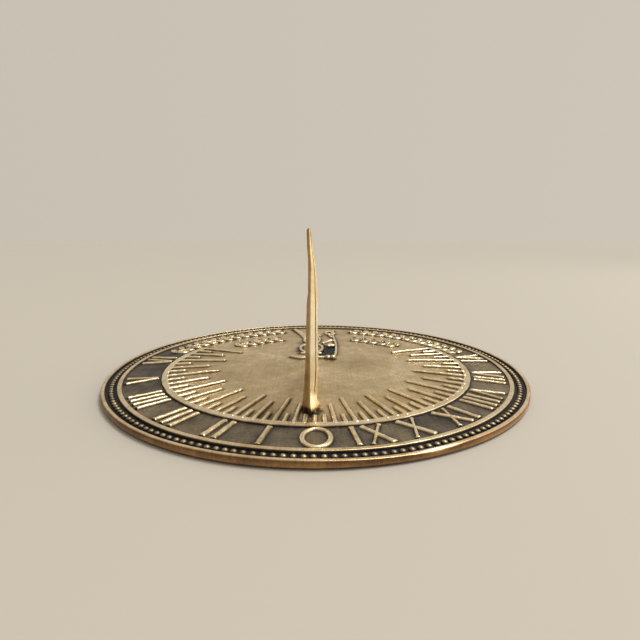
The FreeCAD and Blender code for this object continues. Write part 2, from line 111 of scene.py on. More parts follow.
def near(value, middle, spread):
    # 1 at the middle, fading on both sides of it
    return np.exp(-(((value - middle) / spread) ** 2))


def handMade(x, y):
    angle = np.degrees(np.arctan2(-x, -y))
    share = np.hypot(x, y) / dial["radius"]
    dip = -unevenPlate["dipDeep"] * near(angle, unevenPlate["dipAngle"], unevenPlate["dipSpread"]) * share**8
    wave = sum(rise * np.sin(np.radians(count * angle + turn)) for rise, count, turn in unevenPlate["waves"])
    return dip + wave * share**4


sharpFrom = 42.0  # edges that turn more than this many degrees are crisp
mergeWithin = 1e-6  # metres: points closer than this become one


def newShell():
    return {"points": [], "faces": [], "rub": [], "slots": [], "count": 0}


def addTo(shell, points, faces, rub, slot=0):
    # rub is how far a point's patina was rubbed off: 0 in a dark recess, 1 on a bright high point
    points = np.asarray(points, float).reshape(-1, 3)
    start = shell["count"]
    shell["points"].append(points)
    shell["rub"].append(np.broadcast_to(np.asarray(rub, float).ravel(), (len(points),)))
    shell["faces"] += [tuple(start + i for i in face) for face in faces]
    shell["slots"] += [slot] * len(faces)
    shell["count"] += len(points)


def addNet(shell, rings, rub, slot=0, ends="both"):
    # rings of points joined into a tube, and closed over both its ends, its last one or neither
    rows, columns = len(rings), len(rings[0])
    faces = []
    for row in range(rows - 1):
        for column in range(columns):
            a, b = row * columns + column, row * columns + (column + 1) % columns
            faces.append((a, b, b + columns, a + columns))
    if ends == "both":
        faces.append(tuple(range(columns - 1, -1, -1)))
    if ends in ("both", "last"):
        faces.append(tuple((rows - 1) * columns + i for i in range(columns)))
    addTo(shell, rings, faces, rub, slot)


def fillBetween(loops, loose):
    # triangles that fill the first loop and those inside it, with loose points for an even net
    points, edges = [], []
    for loop in loops:
        start = len(points)
        points += [tuple(p) for p in loop]
        edges += [(start + i, start + (i + 1) % len(loop)) for i in range(len(loop))]
    made = geometry.delaunay_2d_cdt([Vector(p) for p in points + loose], edges, [], 1, 1e-5)
    return np.array([tuple(p) for p in made[0]]), [tuple(face) for face in made[2]]


def makePiece(name, shell, materials, wavy=True):
    points = np.concatenate(shell["points"])
    if wavy:
        points = points.copy()
        above = (points[:, 2] - dial["underside"]) / (dial["rimTop"] - dial["underside"])
        points[:, 2] += handMade(points[:, 0], points[:, 1]) * np.clip(above, 0, 1)
    mesh = bpy.data.meshes.new(name)
    mesh.from_pydata((points / perMetre).tolist(), [], shell["faces"])
    rub = mesh.attributes.new("rub", "FLOAT", "POINT")
    rub.data.foreach_set("value", np.concatenate(shell["rub"]).astype(np.float32))
    for material in materials:
        mesh.materials.append(material)
    mesh.polygons.foreach_set("material_index", shell["slots"])
    mesh.polygons.foreach_set("use_smooth", [True] * len(mesh.polygons))
    piece = bpy.data.objects.new(name, mesh)
    bpy.context.scene.collection.objects.link(piece)
    clean = bmesh.new()
    clean.from_mesh(mesh)
    bmesh.ops.remove_doubles(clean, verts=clean.verts, dist=mergeWithin)
    bmesh.ops.recalc_face_normals(clean, faces=clean.faces)
    for edge in clean.edges:
        edge.smooth = edge.calc_face_angle(0.0) < math.radians(sharpFrom)
    clean.to_mesh(mesh)
    clean.free()
    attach(piece, "root")
    return piece


# Half of a stroke's section from its foot to its top: share of the half width, millimetres added to
# it, share of the height, and how rubbed it is.
castSection = [
    (1.0, 0.34, -0.20, 0.12),
    (1.0, 0.14, 0.05, 0.3),
    (0.99, 0.0, 0.34, 0.66),
    (0.90, 0.0, 0.66, 0.92),
    (0.68, 0.0, 0.88, 1.0),
    (0.34, 0.0, 1.0, 1.0),
]


def wholeSection(half):
    left = [(-share, -extra, high, rub) for share, extra, high, rub in half]
    return np.array(left + [(0.0, 0.0, half[-1][2], half[-1][3])] + half[::-1])


def smoothChance(count, spread, reach):
    # seeded unevenness along a stroke, smoothed over reach steps
    raw = chance.normal(0, 1, count + 2 * reach)
    window = np.hanning(2 * reach + 3)[1:-1]
    return spread * np.convolve(raw, window / np.linalg.norm(window), "same")[reach:reach + count]


strokes = {
    "barStep": 0.9,       # millimetres between the places where a stroke's size may change
    "curveStep": 0.8,
    "traceStep": 0.7,
    "endLength": 0.75,    # of a rounded end, in half widths
    "endPlaces": [0.0, 0.05, 0.25, 0.6, 1.0],
    "endWidths": [0.66, 0.74, 0.9, 0.98, 1.0],
    "endHeights": [0.0, 0.42, 0.82, 0.97, 1.0],
    "serifLength": 0.85,
    "curveUneven": 0.03,
    "sunk": 0.2,          # how far a stroke's foot goes into the ground
}


def addStroke(shell, centres, halfWidths, heights, section=None, closed=False):
    # a raised stroke along centres, closed underneath and at both ends, or all round when closed
    section = wholeSection(castSection) if section is None else section
    ground = dial["ground"]
    centres = np.asarray(centres, float)
    along = np.gradient(centres, axis=0)
    if closed:
        along[0] = along[-1] = centres[1] - centres[-2]
    along /= np.linalg.norm(along, axis=1)[:, None] + 1e-9
    aside = np.stack([-along[:, 1], along[:, 0]], axis=1)
    reach = section[None, :, 0] * halfWidths[:, None] + section[None, :, 1]
    flat = centres[:, None, :] + aside[:, None, :] * reach[:, :, None]
    high = ground + section[None, :, 2] * heights[:, None]
    high = np.where(heights[:, None] <= 0, ground - strokes["sunk"], high)
    rub = section[None, :, 3] * np.clip(heights / relief, 0, 1)[:, None]
    addNet(shell, np.concatenate([flat, high[:, :, None]], axis=2), rub, ends="none" if closed else "both")


def alongStroke(length, halfWidth, step, height):
    # places along a stroke, close together at its rounded ends, with its width and height there
    lead = halfWidth * strokes["endLength"] * np.array(strokes["endPlaces"])
    wide = np.array(strokes["endWidths"])
    high = np.array(strokes["endHeights"])
    count = max(3, int(length / step))
    middle = np.linspace(lead[-1], length - lead[-1], count)[1:-1]
    places = np.concatenate([lead, middle, length - lead[::-1]])
    widths = np.concatenate([wide, np.ones(len(middle)), wide[::-1]]) * halfWidth
    heights = np.concatenate([high, np.ones(len(middle)), high[::-1]]) * height
    return places, widths, heights


traces = []  # (points of a stroke's centre line, its half width), for the patina that gathers beside it


def addUneven(shell, centres, widths, heights, uneven):
    # a stroke with the small unevenness of hand work in its width and height
    widths = widths * (1 + smoothChance(len(centres), uneven, 2))
    heights = heights * (1 + smoothChance(len(centres), uneven, 1))
    addStroke(shell, centres, widths, heights)


def addBar(shell, start, end, halfWidth, height=relief, uneven=0.035, flare=0.0):
    # a straight raised bar; flare widens both ends into small serifs
    length = float(np.linalg.norm(end - start))
    places, widths, heights = alongStroke(length, halfWidth, strokes["barStep"], height)
    if flare:
        ends = np.minimum(places, length - places)
        serif = np.exp(-((ends / strokes["serifLength"]) ** 2))
        widths = widths + flare * serif * np.minimum(1, ends / 0.15 + 0.55)
    addUneven(shell, start + (end - start) * (places / length)[:, None], widths, heights, uneven)
    traces.append((np.linspace(start, end, max(2, int(length / strokes["traceStep"]))), halfWidth))


def addCurve(shell, centres, halfWidth, height=relief, taper=None):
    # a raised stroke along a smooth line of points
    centres = np.asarray(centres, float)
    steps = np.concatenate([[0], np.cumsum(np.linalg.norm(np.diff(centres, axis=0), axis=1))])
    places, widths, heights = alongStroke(steps[-1], halfWidth, strokes["curveStep"], height)
    if taper is not None:
        widths = widths * np.interp(places / steps[-1], np.linspace(0, 1, len(taper)), taper)

    def lineAt(where):
        return np.stack([np.interp(where, steps, centres[:, k]) for k in (0, 1)], axis=1)

    addUneven(shell, lineAt(places), widths, heights, strokes["curveUneven"])
    traces.append((lineAt(np.arange(0, steps[-1], strokes["traceStep"])), halfWidth))


def addDome(shell, middle, radius, floor, height, rubFoot=0.0, rubTop=1.0, around=14, rings=6):
    # a low round bead that rises from floor
    angles = np.linspace(0, 2 * math.pi, around, endpoint=False)
    circles, rub = [], []
    for ring in range(rings):
        rise = ring / (rings - 1) * math.pi / 2 * 0.94
        share = math.cos(rise)
        high = floor - 0.15 if ring == 0 else floor + height * math.sin(rise)
        circles.append(np.stack([middle[0] + radius * share * np.cos(angles),
                                 middle[1] + radius * share * np.sin(angles),
                                 np.full(around, high)], axis=1))
        rub += [rubFoot + (rubTop - rubFoot) * max(0.0, math.sin(rise)) ** 1.6] * around
    addNet(shell, circles, rub)


def linear(hexColour):
    # an sRGB hex colour as the linear colour that a shader takes
    parts = [int(hexColour[i:i + 2], 16) / 255 for i in (1, 3, 5)]
    return (*[p / 12.92 if p <= 0.04045 else ((p + 0.055) / 1.055) ** 2.4 for p in parts], 1.0)


def addNode(tree, kind, values=None, **settings):
    node = tree.nodes.new("ShaderNode" + kind)
    for name, setting in settings.items():
        setattr(node, name, setting)
    for name, value in (values or {}).items():
        if isinstance(value, bpy.types.NodeSocket):
            tree.links.new(value, node.inputs[name])
        else:
            node.inputs[name].default_value = value
    return node


def setRamp(ramp, stops):
    elements = ramp.color_ramp.elements
    while len(elements) < len(stops):
        elements.new(0.5)
    for element, (place, colour) in zip(elements, stops):
        element.position = place
        element.color = linear(colour)


def newMaterial(name):
    material = bpy.data.materials.new(name)
    material.use_nodes = True
    tree = material.node_tree
    tree.nodes.clear()
    return material, tree, addNode(tree, "TexCoord").outputs["Object"]


def scaleFor(millimetres):
    # a noise pattern's scale for features of this size
    return perMetre / millimetres


antiqued = {
    # layers that break up the patina: feature size, detail and roughness of the noise, its lowest and
    # highest value, and what these take off the rub and add to it
    "layers": [
        (6.0, 5.0, 0.62, 0.25, 0.75, -0.10, 0.10),   # cloudiness of the patina
        (0.9, 3.0, 0.70, 0.25, 0.75, -0.07, 0.07),   # sand grain of the casting
        (38.0, 6.0, 0.60, 0.30, 0.62, -0.13, 0.03),  # handling marks on the flat centre
    ],
    "brushWidth": 1.1,       # lines left by the abrasive belt; finer ones would not show
    "brushLength": 34.0,
    "pitSize": 1.9,
    "patina": [(0.0, "#0b0d10"), (0.14, "#1e1f20"), (0.30, "#504940"), (0.46, "#7f725d"),
               (0.66, "#b19c75"), (0.84, "#d4bd93"), (1.0, "#fbeccb")],
    "sideReflectionTint": "#f6dac6",   # painted reflection: the turned side is tinted warmer, as if it mirrored a warm brown surface
    "sideReflectionFrom": 0.8,     # millimetres in from the edge where it starts, and where it is full
    "sideReflectionFull": 0.2,
}


def antiquedCastBrass():
    # sand-cast brass, blackened all over and then rubbed back: recesses stay nearly black and matt,
    # flat ground is a satin grey-gold and the high points shine
    material, tree, place = newMaterial("antiquedCastBrass")
    total = addNode(tree, "Attribute", attribute_name="rub").outputs["Fac"]
    for size, detail, rough, low, high, less, more in antiqued["layers"]:
        noise = addNode(tree, "TexNoise", {"Vector": place, "Scale": scaleFor(size), "Detail": detail,
                                           "Roughness": rough}).outputs["Fac"]
        layer = addNode(tree, "MapRange", {"Value": noise, "From Min": low, "From Max": high,
                                           "To Min": less, "To Max": more}).outputs["Result"]
        total = addNode(tree, "Math", {0: total, 1: layer}, operation="ADD").outputs["Value"]
    wide, long = scaleFor(antiqued["brushWidth"]), scaleFor(antiqued["brushLength"])
    brushPlace = addNode(tree, "Mapping", {"Vector": place, "Scale": (wide, long, long)})
    brush = addNode(tree, "TexNoise", {"Vector": brushPlace.outputs["Vector"], "Scale": 1.0,
                                       "Detail": 4.0, "Roughness": 0.65}).outputs["Fac"]
    streaks = addNode(tree, "MapRange", {"Value": brush, "From Min": 0.25, "From Max": 0.75,
                                         "To Min": -0.05, "To Max": 0.05}).outputs["Result"]
    total = addNode(tree, "Math", {0: total, 1: streaks}, operation="ADD").outputs["Value"]
    ramp = addNode(tree, "ValToRGB", {"Fac": total})
    setRamp(ramp, antiqued["patina"])
    # painted reflection: the warm side tint, multiplied in over the last millimetre of the turned side
    outwards = addNode(tree, "VectorMath", {0: place, 1: (1.0, 1.0, 0.0)}, operation="MULTIPLY")
    reach = addNode(tree, "VectorMath", {0: outwards.outputs["Vector"]}, operation="LENGTH")
    atSideReflection = addNode(tree, "MapRange", {
        "Value": reach.outputs["Value"],
        "From Min": (dial["radius"] - antiqued["sideReflectionFrom"]) / perMetre,
        "From Max": (dial["radius"] - antiqued["sideReflectionFull"]) / perMetre})
    paintedSideReflection = addNode(tree, "Mix", {0: atSideReflection.outputs["Result"], 6: ramp.outputs["Color"],
                                 7: linear(antiqued["sideReflectionTint"])}, data_type="RGBA", blend_type="MULTIPLY")
    roughness = addNode(tree, "MapRange", {"Value": total, "From Min": 0.0, "From Max": 1.0,
                                           "To Min": 0.62, "To Max": 0.27}).outputs["Result"]
    metal = addNode(tree, "MapRange", {"Value": total, "From Min": 0.05, "From Max": 0.5,
                                       "To Min": 0.45, "To Max": 1.0}).outputs["Result"]
    pits = addNode(tree, "TexNoise", {"Vector": place, "Scale": scaleFor(antiqued["pitSize"]),
                                      "Detail": 4.0, "Roughness": 0.6}).outputs["Fac"]
    lines = addNode(tree, "Bump", {"Height": brush, "Strength": 0.22, "Distance": 0.00005})
    cast = addNode(tree, "Bump", {"Height": pits, "Strength": 0.5, "Distance": 0.00022,
                                  "Normal": lines.outputs["Normal"]})
    shader = addNode(tree, "BsdfPrincipled", {"Base Color": paintedSideReflection.outputs[2], "Roughness": roughness,
                                              "Metallic": metal, "Normal": cast.outputs["Normal"]})
    addNode(tree, "OutputMaterial", {"Surface": shader.outputs["BSDF"]})
    return material


polished = {
    "tarnishSize": 9.0,
    "rippleSize": 5.0,       # soft hollows left by hand filing
    "scratchWidth": 0.25,
    "scratchLength": 9.0,
    "tones": [(0.0, "#2f2415"), (0.3, "#8d7044"), (0.55, "#c6a877"), (0.8, "#e6d2a6"), (1.0, "#fbf0d3")],
}


def polishedCastBrass():
    # a brass casting filed and buffed by hand: bright yellow metal, slightly rippled, darker in its hollows
    material, tree, place = newMaterial("polishedCastBrass")
    rub = addNode(tree, "Attribute", attribute_name="rub").outputs["Fac"]
    tarnish = addNode(tree, "TexNoise", {"Vector": place, "Scale": scaleFor(polished["tarnishSize"]),
                                         "Detail": 6.0, "Roughness": 0.65}).outputs["Fac"]
    ripple = addNode(tree, "TexNoise", {"Vector": place, "Scale": scaleFor(polished["rippleSize"]),
                                        "Detail": 2.0, "Roughness": 0.5}).outputs["Fac"]
    wide, long = scaleFor(polished["scratchWidth"]), scaleFor(polished["scratchLength"])
    scratchPlace = addNode(tree, "Mapping", {"Vector": place, "Scale": (wide, wide, long)})
    scratch = addNode(tree, "TexNoise", {"Vector": scratchPlace.outputs["Vector"], "Scale": 1.0,
                                         "Detail": 3.0, "Roughness": 0.6}).outputs["Fac"]
    dull = addNode(tree, "MapRange", {"Value": tarnish, "From Min": 0.3, "From Max": 0.7,
                                      "To Min": -0.14, "To Max": 0.08}).outputs["Result"]
    fine = addNode(tree, "MapRange", {"Value": scratch, "From Min": 0.25, "From Max": 0.75,
                                      "To Min": -0.07, "To Max": 0.05}).outputs["Result"]
    total = rub
    for part in (dull, fine):
        total = addNode(tree, "Math", {0: total, 1: part}, operation="ADD").outputs["Value"]
    ramp = addNode(tree, "ValToRGB", {"Fac": total})
    setRamp(ramp, polished["tones"])
    roughness = addNode(tree, "MapRange", {"Value": total, "From Min": 0.1, "From Max": 1.0,
                                           "To Min": 0.55, "To Max": 0.36}).outputs["Result"]
    filed = addNode(tree, "Bump", {"Height": scratch, "Strength": 0.2, "Distance": 0.00005})
    hollows = addNode(tree, "Bump", {"Height": ripple, "Strength": 0.35, "Distance": 0.0004,
                                     "Normal": filed.outputs["Normal"]})
    shader = addNode(tree, "BsdfPrincipled", {"Base Color": ramp.outputs["Color"], "Metallic": 1.0,
                                              "Roughness": roughness, "Normal": hollows.outputs["Normal"]})
    addNode(tree, "OutputMaterial", {"Surface": shader.outputs["BSDF"]})
    return material


turned = {"toolMark": 1.08, "tones": [(0.0, "#b08c48"), (1.0, "#e6c47c")]}


def turnedBrass():
    # brass rod cut on a lathe: bright and smooth, faintly uneven where the tool left its marks;
    # they are drawn about six times as coarse as they are, or they would not show
    material, tree, place = newMaterial("turnedBrass")
    cuts = addNode(tree, "TexNoise", {"Vector": place, "Scale": scaleFor(turned["toolMark"]),
                                      "Detail": 4.0, "Roughness": 0.6}).outputs["Fac"]
    ramp = addNode(tree, "ValToRGB", {"Fac": cuts})
    setRamp(ramp, turned["tones"])
    roughness = addNode(tree, "MapRange", {"Value": cuts, "To Min": 0.22, "To Max": 0.4}).outputs["Result"]
    marks = addNode(tree, "Bump", {"Height": cuts, "Strength": 0.25, "Distance": 0.00005})
    shader = addNode(tree, "BsdfPrincipled", {"Base Color": ramp.outputs["Color"], "Metallic": 1.0,
                                              "Roughness": roughness, "Normal": marks.outputs["Normal"]})
    addNode(tree, "OutputMaterial", {"Surface": shader.outputs["BSDF"]})
    return material


sandCast = {"grainSize": 0.8, "lumpSize": 6.0,
            "tones": [(0.2, "#5d4f38"), (0.5, "#8f7a52"), (0.8, "#b0976a")]}


def sandCastBrass():
    # brass as it left the sand: dull, grainy and never buffed, as on the underside
    material, tree, place = newMaterial("sandCastBrass")
    grain = addNode(tree, "TexNoise", {"Vector": place, "Scale": scaleFor(sandCast["grainSize"]),
                                       "Detail": 5.0, "Roughness": 0.7}).outputs["Fac"]
    lumps = addNode(tree, "TexNoise", {"Vector": place, "Scale": scaleFor(sandCast["lumpSize"]),
                                       "Detail": 5.0, "Roughness": 0.6}).outputs["Fac"]
    ramp = addNode(tree, "ValToRGB", {"Fac": lumps})
    setRamp(ramp, sandCast["tones"])
    roughness = addNode(tree, "MapRange", {"Value": grain, "To Min": 0.42,
                                           "To Max": 0.72}).outputs["Result"]
    sand = addNode(tree, "Bump", {"Height": grain, "Strength": 0.6, "Distance": 0.0002})
    skin = addNode(tree, "Bump", {"Height": lumps, "Strength": 0.4, "Distance": 0.0006,
                                  "Normal": sand.outputs["Normal"]})
    shader = addNode(tree, "BsdfPrincipled", {"Base Color": ramp.outputs["Color"], "Metallic": 1.0,
                                              "Roughness": roughness, "Normal": skin.outputs["Normal"]})
    addNode(tree, "OutputMaterial", {"Surface": shader.outputs["BSDF"]})
    return material


castBrass = antiquedCastBrass()
brightBrass = polishedCastBrass()
rodBrass = turnedBrass()
roughBrass = sandCastBrass()
print("materials made")


bars = {
    "halfWidth": 1.1,
    "hourEnd": 62.2,
    "halfHourEnd": 69.2,
    "quarterEnd": 82.6,
    "noonEnd": 83.4,  # the noon bar stops at the gnomon's nose
    "lastHour": 7,
    "rise": 1.12,    # of the other raised work's height
    "uneven": 0.06,
}


def makeHourBars():
    shell = newShell()
    start = (dial["hourRingInner"] + dial["hourRingOuter"]) / 2
    for quarter in range(-4 * bars["lastHour"], 4 * bars["lastHour"] + 1):
        end = bars["quarterEnd"]
        if quarter % 2 == 0:
            end = bars["halfHourEnd"]
        if quarter % 4 == 0:
            end = bars["hourEnd"]
        if quarter == 0:
            end = bars["noonEnd"]
        angle = hourAngle(quarter / 4)
        addBar(shell, onLine(angle, start), onLine(angle, end), bars["halfWidth"],
               height=relief * bars["rise"], uneven=bars["uneven"])
    return makePiece("hour_bars", shell, [castBrass])


# the hour ring's section is flat on top and darker at its foot
ringSection = [(1.0, 0.3, -0.2, 0.03), (1.0, 0.1, 0.08, 0.08), (1.0, 0.0, 0.4, 0.35),
               (0.96, 0.0, 0.78, 0.8), (0.86, 0.0, 0.97, 0.98), (0.5, 0.0, 1.0, 0.97)]


def makeHourRing():
    # the flat ring that the bars spring from, open at the back
    shell = newShell()
    half = dial["hourRingHalfAngle"]
    middle = (dial["hourRingInner"] + dial["hourRingOuter"]) / 2
    angles = np.linspace(-half, half, 420)
    halfWidth = (dial["hourRingOuter"] - dial["hourRingInner"]) / 2
    widths = halfWidth * (1 + smoothChance(len(angles), 0.05, 4))
    heights = relief * (1 + smoothChance(len(angles), 0.02, 3))
    widths[[0, -1]] *= 0.8
    heights[[0, -1]] = 0
    heights[[1, -2]] *= 0.8
    addStroke(shell, onPlate(angles, middle), widths, heights, wholeSection(ringSection))
    traces.append((onPlate(np.linspace(-half, half, 560), middle), halfWidth))
    return makePiece("hour_ring", shell, [castBrass])


numerals = {
    "inner": 97.2,
    "outer": 114.9,
    "thick": 1.1,
    "thin": 0.68,
    "serif": 0.5,
    "gap": 4.1,
    "noonHalfWidth": 7.0,
    "noonHalfHeight": 9.4,
    "noonStroke": 0.95,
    "noonSwell": 0.22,
    "morning": {1: "XI", 2: "X", 3: "IX", 4: "VIII", 5: "VII", 6: "VI"},
    "afternoon": {1: "I", 2: "II", 3: "III", 4: "IIII", 5: "V", 6: "VI"},
    # how far the pattern maker set a numeral off its hour line, towards the evening
    "offLine": {-1: -2.6, -2: -0.9, -4: -1.4, -5: -3.8, -6: -4.6,
                2: -1.8, 3: -1.5, 4: -1.2, 5: -2.3},
    "noonOffLine": 0.8,
    # width, then (place at the foot, place at the head, stroke) for each stroke
    "letters": {
        "I": (1.2, [(0.0, 0.0, "thick")]),
        "V": (8.6, [(-0.3, -4.2, "thick"), (0.3, 4.2, "thin")]),
        "X": (9.6, [(4.7, -4.7, "thick"), (-4.4, 4.4, "thin")]),
    },
}


def makeNumerals():
    shell = newShell()
    middleRadius = (numerals["inner"] + numerals["outer"]) / 2
    hours = [(-hour, text) for hour, text in numerals["morning"].items()]
    for hour, text in hours + list(numerals["afternoon"].items()):
        angle = hourAngle(hour)
        reach = np.linalg.norm(onLine(angle, middleRadius) - [0, dial["styleFoot"]])
        letters = [numerals["letters"][letter] for letter in text]
        across = -(sum(width for width, _ in letters) + numerals["gap"] * (len(text) - 1)) / 2
        across += numerals["offLine"].get(hour, 0.0)
        for width, strokes in letters:
            for foot, head, stroke in strokes:
                middle = across + width / 2
                start = onLine(angle + (middle + foot) / reach, numerals["inner"])
                end = onLine(angle + (middle + head) / reach, numerals["outer"])
                addBar(shell, start, end, numerals[stroke], flare=numerals["serif"], uneven=0.045)
            across += width + numerals["gap"]
    return makePiece("numerals", shell, [castBrass])


def makeNoonMark():
    shell = newShell()
    middle = onPlate(0.0, (numerals["inner"] + numerals["outer"]) / 2) + [numerals["noonOffLine"], 0.0]
    turn = np.linspace(0, 2 * math.pi, 97)
    wide = numerals["noonHalfWidth"] - numerals["noonStroke"]
    tall = numerals["noonHalfHeight"] - numerals["noonStroke"]
    line = middle + np.stack([wide * np.cos(turn), tall * np.sin(turn)], axis=1)
    # thicker down its two sides, as a written letter is
    widths = numerals["noonStroke"] * (1 + numerals["noonSwell"] * np.abs(np.cos(turn)))
    widths *= 1 + smoothChance(len(turn), 0.03, 3)
    widths[-1] = widths[0]
    addStroke(shell, line, widths, np.full(len(turn), relief), closed=True)
    traces.append((line, numerals["noonStroke"]))
    return makePiece("noon_mark", shell, [castBrass])


beads = {"count": 192, "circle": 121.9, "radius": 1.62, "height": 1.42, "spread": 0.04, "rubTop": 0.74}


def makeBeads():
    shell = newShell()
    floor = dial["rimTop"] - dial["channelDepth"]
    for i in range(beads["count"]):
        angle = 360 * (i + chance.uniform(-1, 1) * beads["spread"]) / beads["count"]
        size = beads["radius"] * (1 + chance.uniform(-1, 1) * beads["spread"])
        middle = onPlate(angle, beads["circle"] + chance.uniform(-1, 1) * beads["spread"])
        height = beads["height"] * (1 + chance.uniform(-1, 0) * beads["spread"])
        addDome(shell, middle, size, floor, height, rubTop=beads["rubTop"])
    return makePiece("beads", shell, [castBrass])


leafRows = {
    "rows": [(105.5, 106, 165), (79.0, 129, 158)],  # radius, first and last angle from noon
    "pitch": 8.2,
    "length": 9.6,
    "lengthShare": (0.72, 0.06),  # of that length which a leaf takes up, and its spread
    "lean": (0.62, 0.08),         # how far a leaf leans along the row, in pitches, and its spread
    "halfWidth": 2.5,
    "bend": 0.6,
    "stemHalfWidth": 0.85,
    "stemWave": 1.3,
    "berryRadius": 1.35,
    "berryPlace": (0.75, 2.6),    # along the row in pitches, and off its stem
}


def addLeaf(shell, tail, tip, halfWidth, curl, height=relief):
    # a pointed leaf with a sunk midrib, curling to one side
    steps, across = 11, 9
    along = tip - tail
    aside = np.array([-along[1], along[0]]) / np.linalg.norm(along)
    points, rub = [], []
    for s in np.linspace(0, 1, steps):
        middle = tail + along * s + aside * curl * math.sin(math.pi * s)
        half = halfWidth * math.sin(math.pi * min(1, s * 0.92 + 0.05)) ** 0.75 + 0.12
        rise = height * min(1.0, 0.35 + 3.2 * s) * min(1.0, 0.25 + 3.5 * (1 - s))
        for t in np.linspace(-1, 1, across):
            vein = 0.38 * math.exp(-((t / 0.2) ** 2)) * math.sin(math.pi * min(1, s + 0.1))
            edge = 1 - abs(t) ** 4.5
            high = dial["ground"] + rise * max(0.0, edge - vein)
            if abs(t) == 1:
                high -= strokes["sunk"]
            flat = middle + aside * half * t
            points.append((flat[0], flat[1], high))
            rub.append(max(0.1, min(1.0, edge * 1.4 - vein * 1.6)))
    addNet(shell, np.reshape(points, (steps, across, 3)), rub)
    traces.append((np.linspace(tail, tip, 8), halfWidth * 0.75))


def makeLeafRows():
    shell = newShell()
    for side in (-1, 1):
        for radius, first, last in leafRows["rows"]:
            step = math.degrees(leafRows["pitch"] / radius)
            angles = np.linspace(first, last, 160)
            wave = radius + leafRows["stemWave"] * np.sin(math.pi * (angles - first) / step)
            addCurve(shell, onPlate(side * angles, wave), leafRows["stemHalfWidth"], height=relief * 0.8)
            share, shareSpread = leafRows["lengthShare"]
            lean, leanSpread = leafRows["lean"]
            angle, number = first + step * 0.2, 0
            while angle + step * 0.6 < last:
                for outwards in (-1, 1):
                    length = leafRows["length"] * (share + shareSpread * chance.uniform(-1, 1))
                    root = onPlate(side * angle, radius + outwards * 0.6)
                    tip = onPlate(side * (angle + step * (lean + leanSpread * chance.uniform(-1, 1))),
                                  radius + outwards * length)
                    addLeaf(shell, root, tip, leafRows["halfWidth"], outwards * side * leafRows["bend"])
                berrySide = 1 if number % 2 else -1
                along, off = leafRows["berryPlace"]
                berry = onPlate(side * (angle + step * along), radius + berrySide * off)
                addDome(shell, berry, leafRows["berryRadius"], dial["ground"], relief * 0.95,
                        rubFoot=0.1, around=10, rings=5)
                angle += step
                number += 1
    return makePiece("leaf_rows", shell, [castBrass])


emblem = {
    "middle": -4.0,
    "foot": 29.0,
    "waist": 57.0,
    "head": 86.0,
    "boardHalfWidth": 7.6,
    "lowerBulb": 8.2,
    "upperBulb": 6.2,
    "neck": 1.3,
    "panel": [(2.0, 21.6), (12.2, 21.2), (13.4, 50.0), (12.8, 57.6), (4.6, 54.6), (1.6, 34.0)],
    "panelDepth": 0.8,
    "boardStroke": 1.3,
    "glassStroke": 0.95,
    "glassRise": 1.1,
    "sandGrains": 40,
    "sandHalfSize": (5.2, 4.5),
    "sandAbove": 8.5,        # middle of the heap, from the glass's foot
    # the scythe: its long handle, two grips, a bow of cord with a loose end, and the blade; for each
    # its half width, rise and taper, how many steps it is drawn in, and points that it passes through
    "scythe": [
        (0.85, 1.1, None, 70, [(10.8, 15.6), (13.2, 25.0), (14.5, 44.0), (14.5, 60.0), (13.8, 74.0),
                               (13.2, 88.0), (14.0, 106.0)]),
        (1.1, 1.2, None, 70, [(4.4, 57.4), (7.4, 63.2), (11.6, 66.6), (14.4, 64.8)]),
        (1.3, 1.3, None, 70, [(8.0, 50.2), (13.4, 51.2)]),
        (1.15, 1.2, None, 80, [(14.4, 92.0), (9.4, 88.4), (7.2, 95.0), (11.0, 101.8), (14.6, 92.0)]),
        (1.1, 1.2, None, 70, [(14.4, 92.0), (10.6, 85.6), (11.8, 79.0)]),
        (1.45, 1.4, [1.2, 1.05, 0.95, 0.85, 0.5], 70,
         [(9.0, 17.6), (2.0, 17.4), (-6.0, 16.4), (-12.2, 16.0), (-18.8, 19.6)]),
    ],
    "knobs": [((7.8, 16.6), 2.9, 2.2), ((11.2, 15.4), 2.7, 2.6)],  # place, radius and rise
    # a feather that springs from the head of the hourglass
    "plume": (2.6, 1.5, [1.1, 1.1, 0.9, 0.5], 70,
              [(-8.4, 74.0), (-10.4, 82.0), (-13.6, 93.0), (-20.2, 108.4)]),
}


def smoothLine(points, count):
    # a curve through a few points that keeps its bends soft
    points = np.array(points, float)
    padded = np.concatenate([[2 * points[0] - points[1]], points, [2 * points[-1] - points[-2]]])
    curve = []
    for i in range(len(points) - 1):
        before, a, b, after = padded[i:i + 4]
        for t in np.linspace(0, 1, max(3, count // (len(points) - 1)), endpoint=False):
            curve.append(0.5 * (2 * a + (b - before) * t + (2 * before - 5 * a + 4 * b - after) * t**2
                                + (3 * a - before - 3 * b + after) * t**3))
    return np.array(curve + [points[-1]])


def insidePanel(x, y):
    # 1 inside the sunk panel, fading over half a millimetre at its edge
    corners = np.array(emblem["panel"])
    after = np.roll(corners, -1, axis=0)
    deep = np.full(np.shape(x), 9.0)
    for (ax, ay), (bx, by) in zip(corners, after):
        length = math.hypot(bx - ax, by - ay)
        deep = np.minimum(deep, ((bx - ax) * (y - ay) - (by - ay) * (x - ax)) / length)
    return np.clip(deep / 0.6 + 0.5, 0, 1)


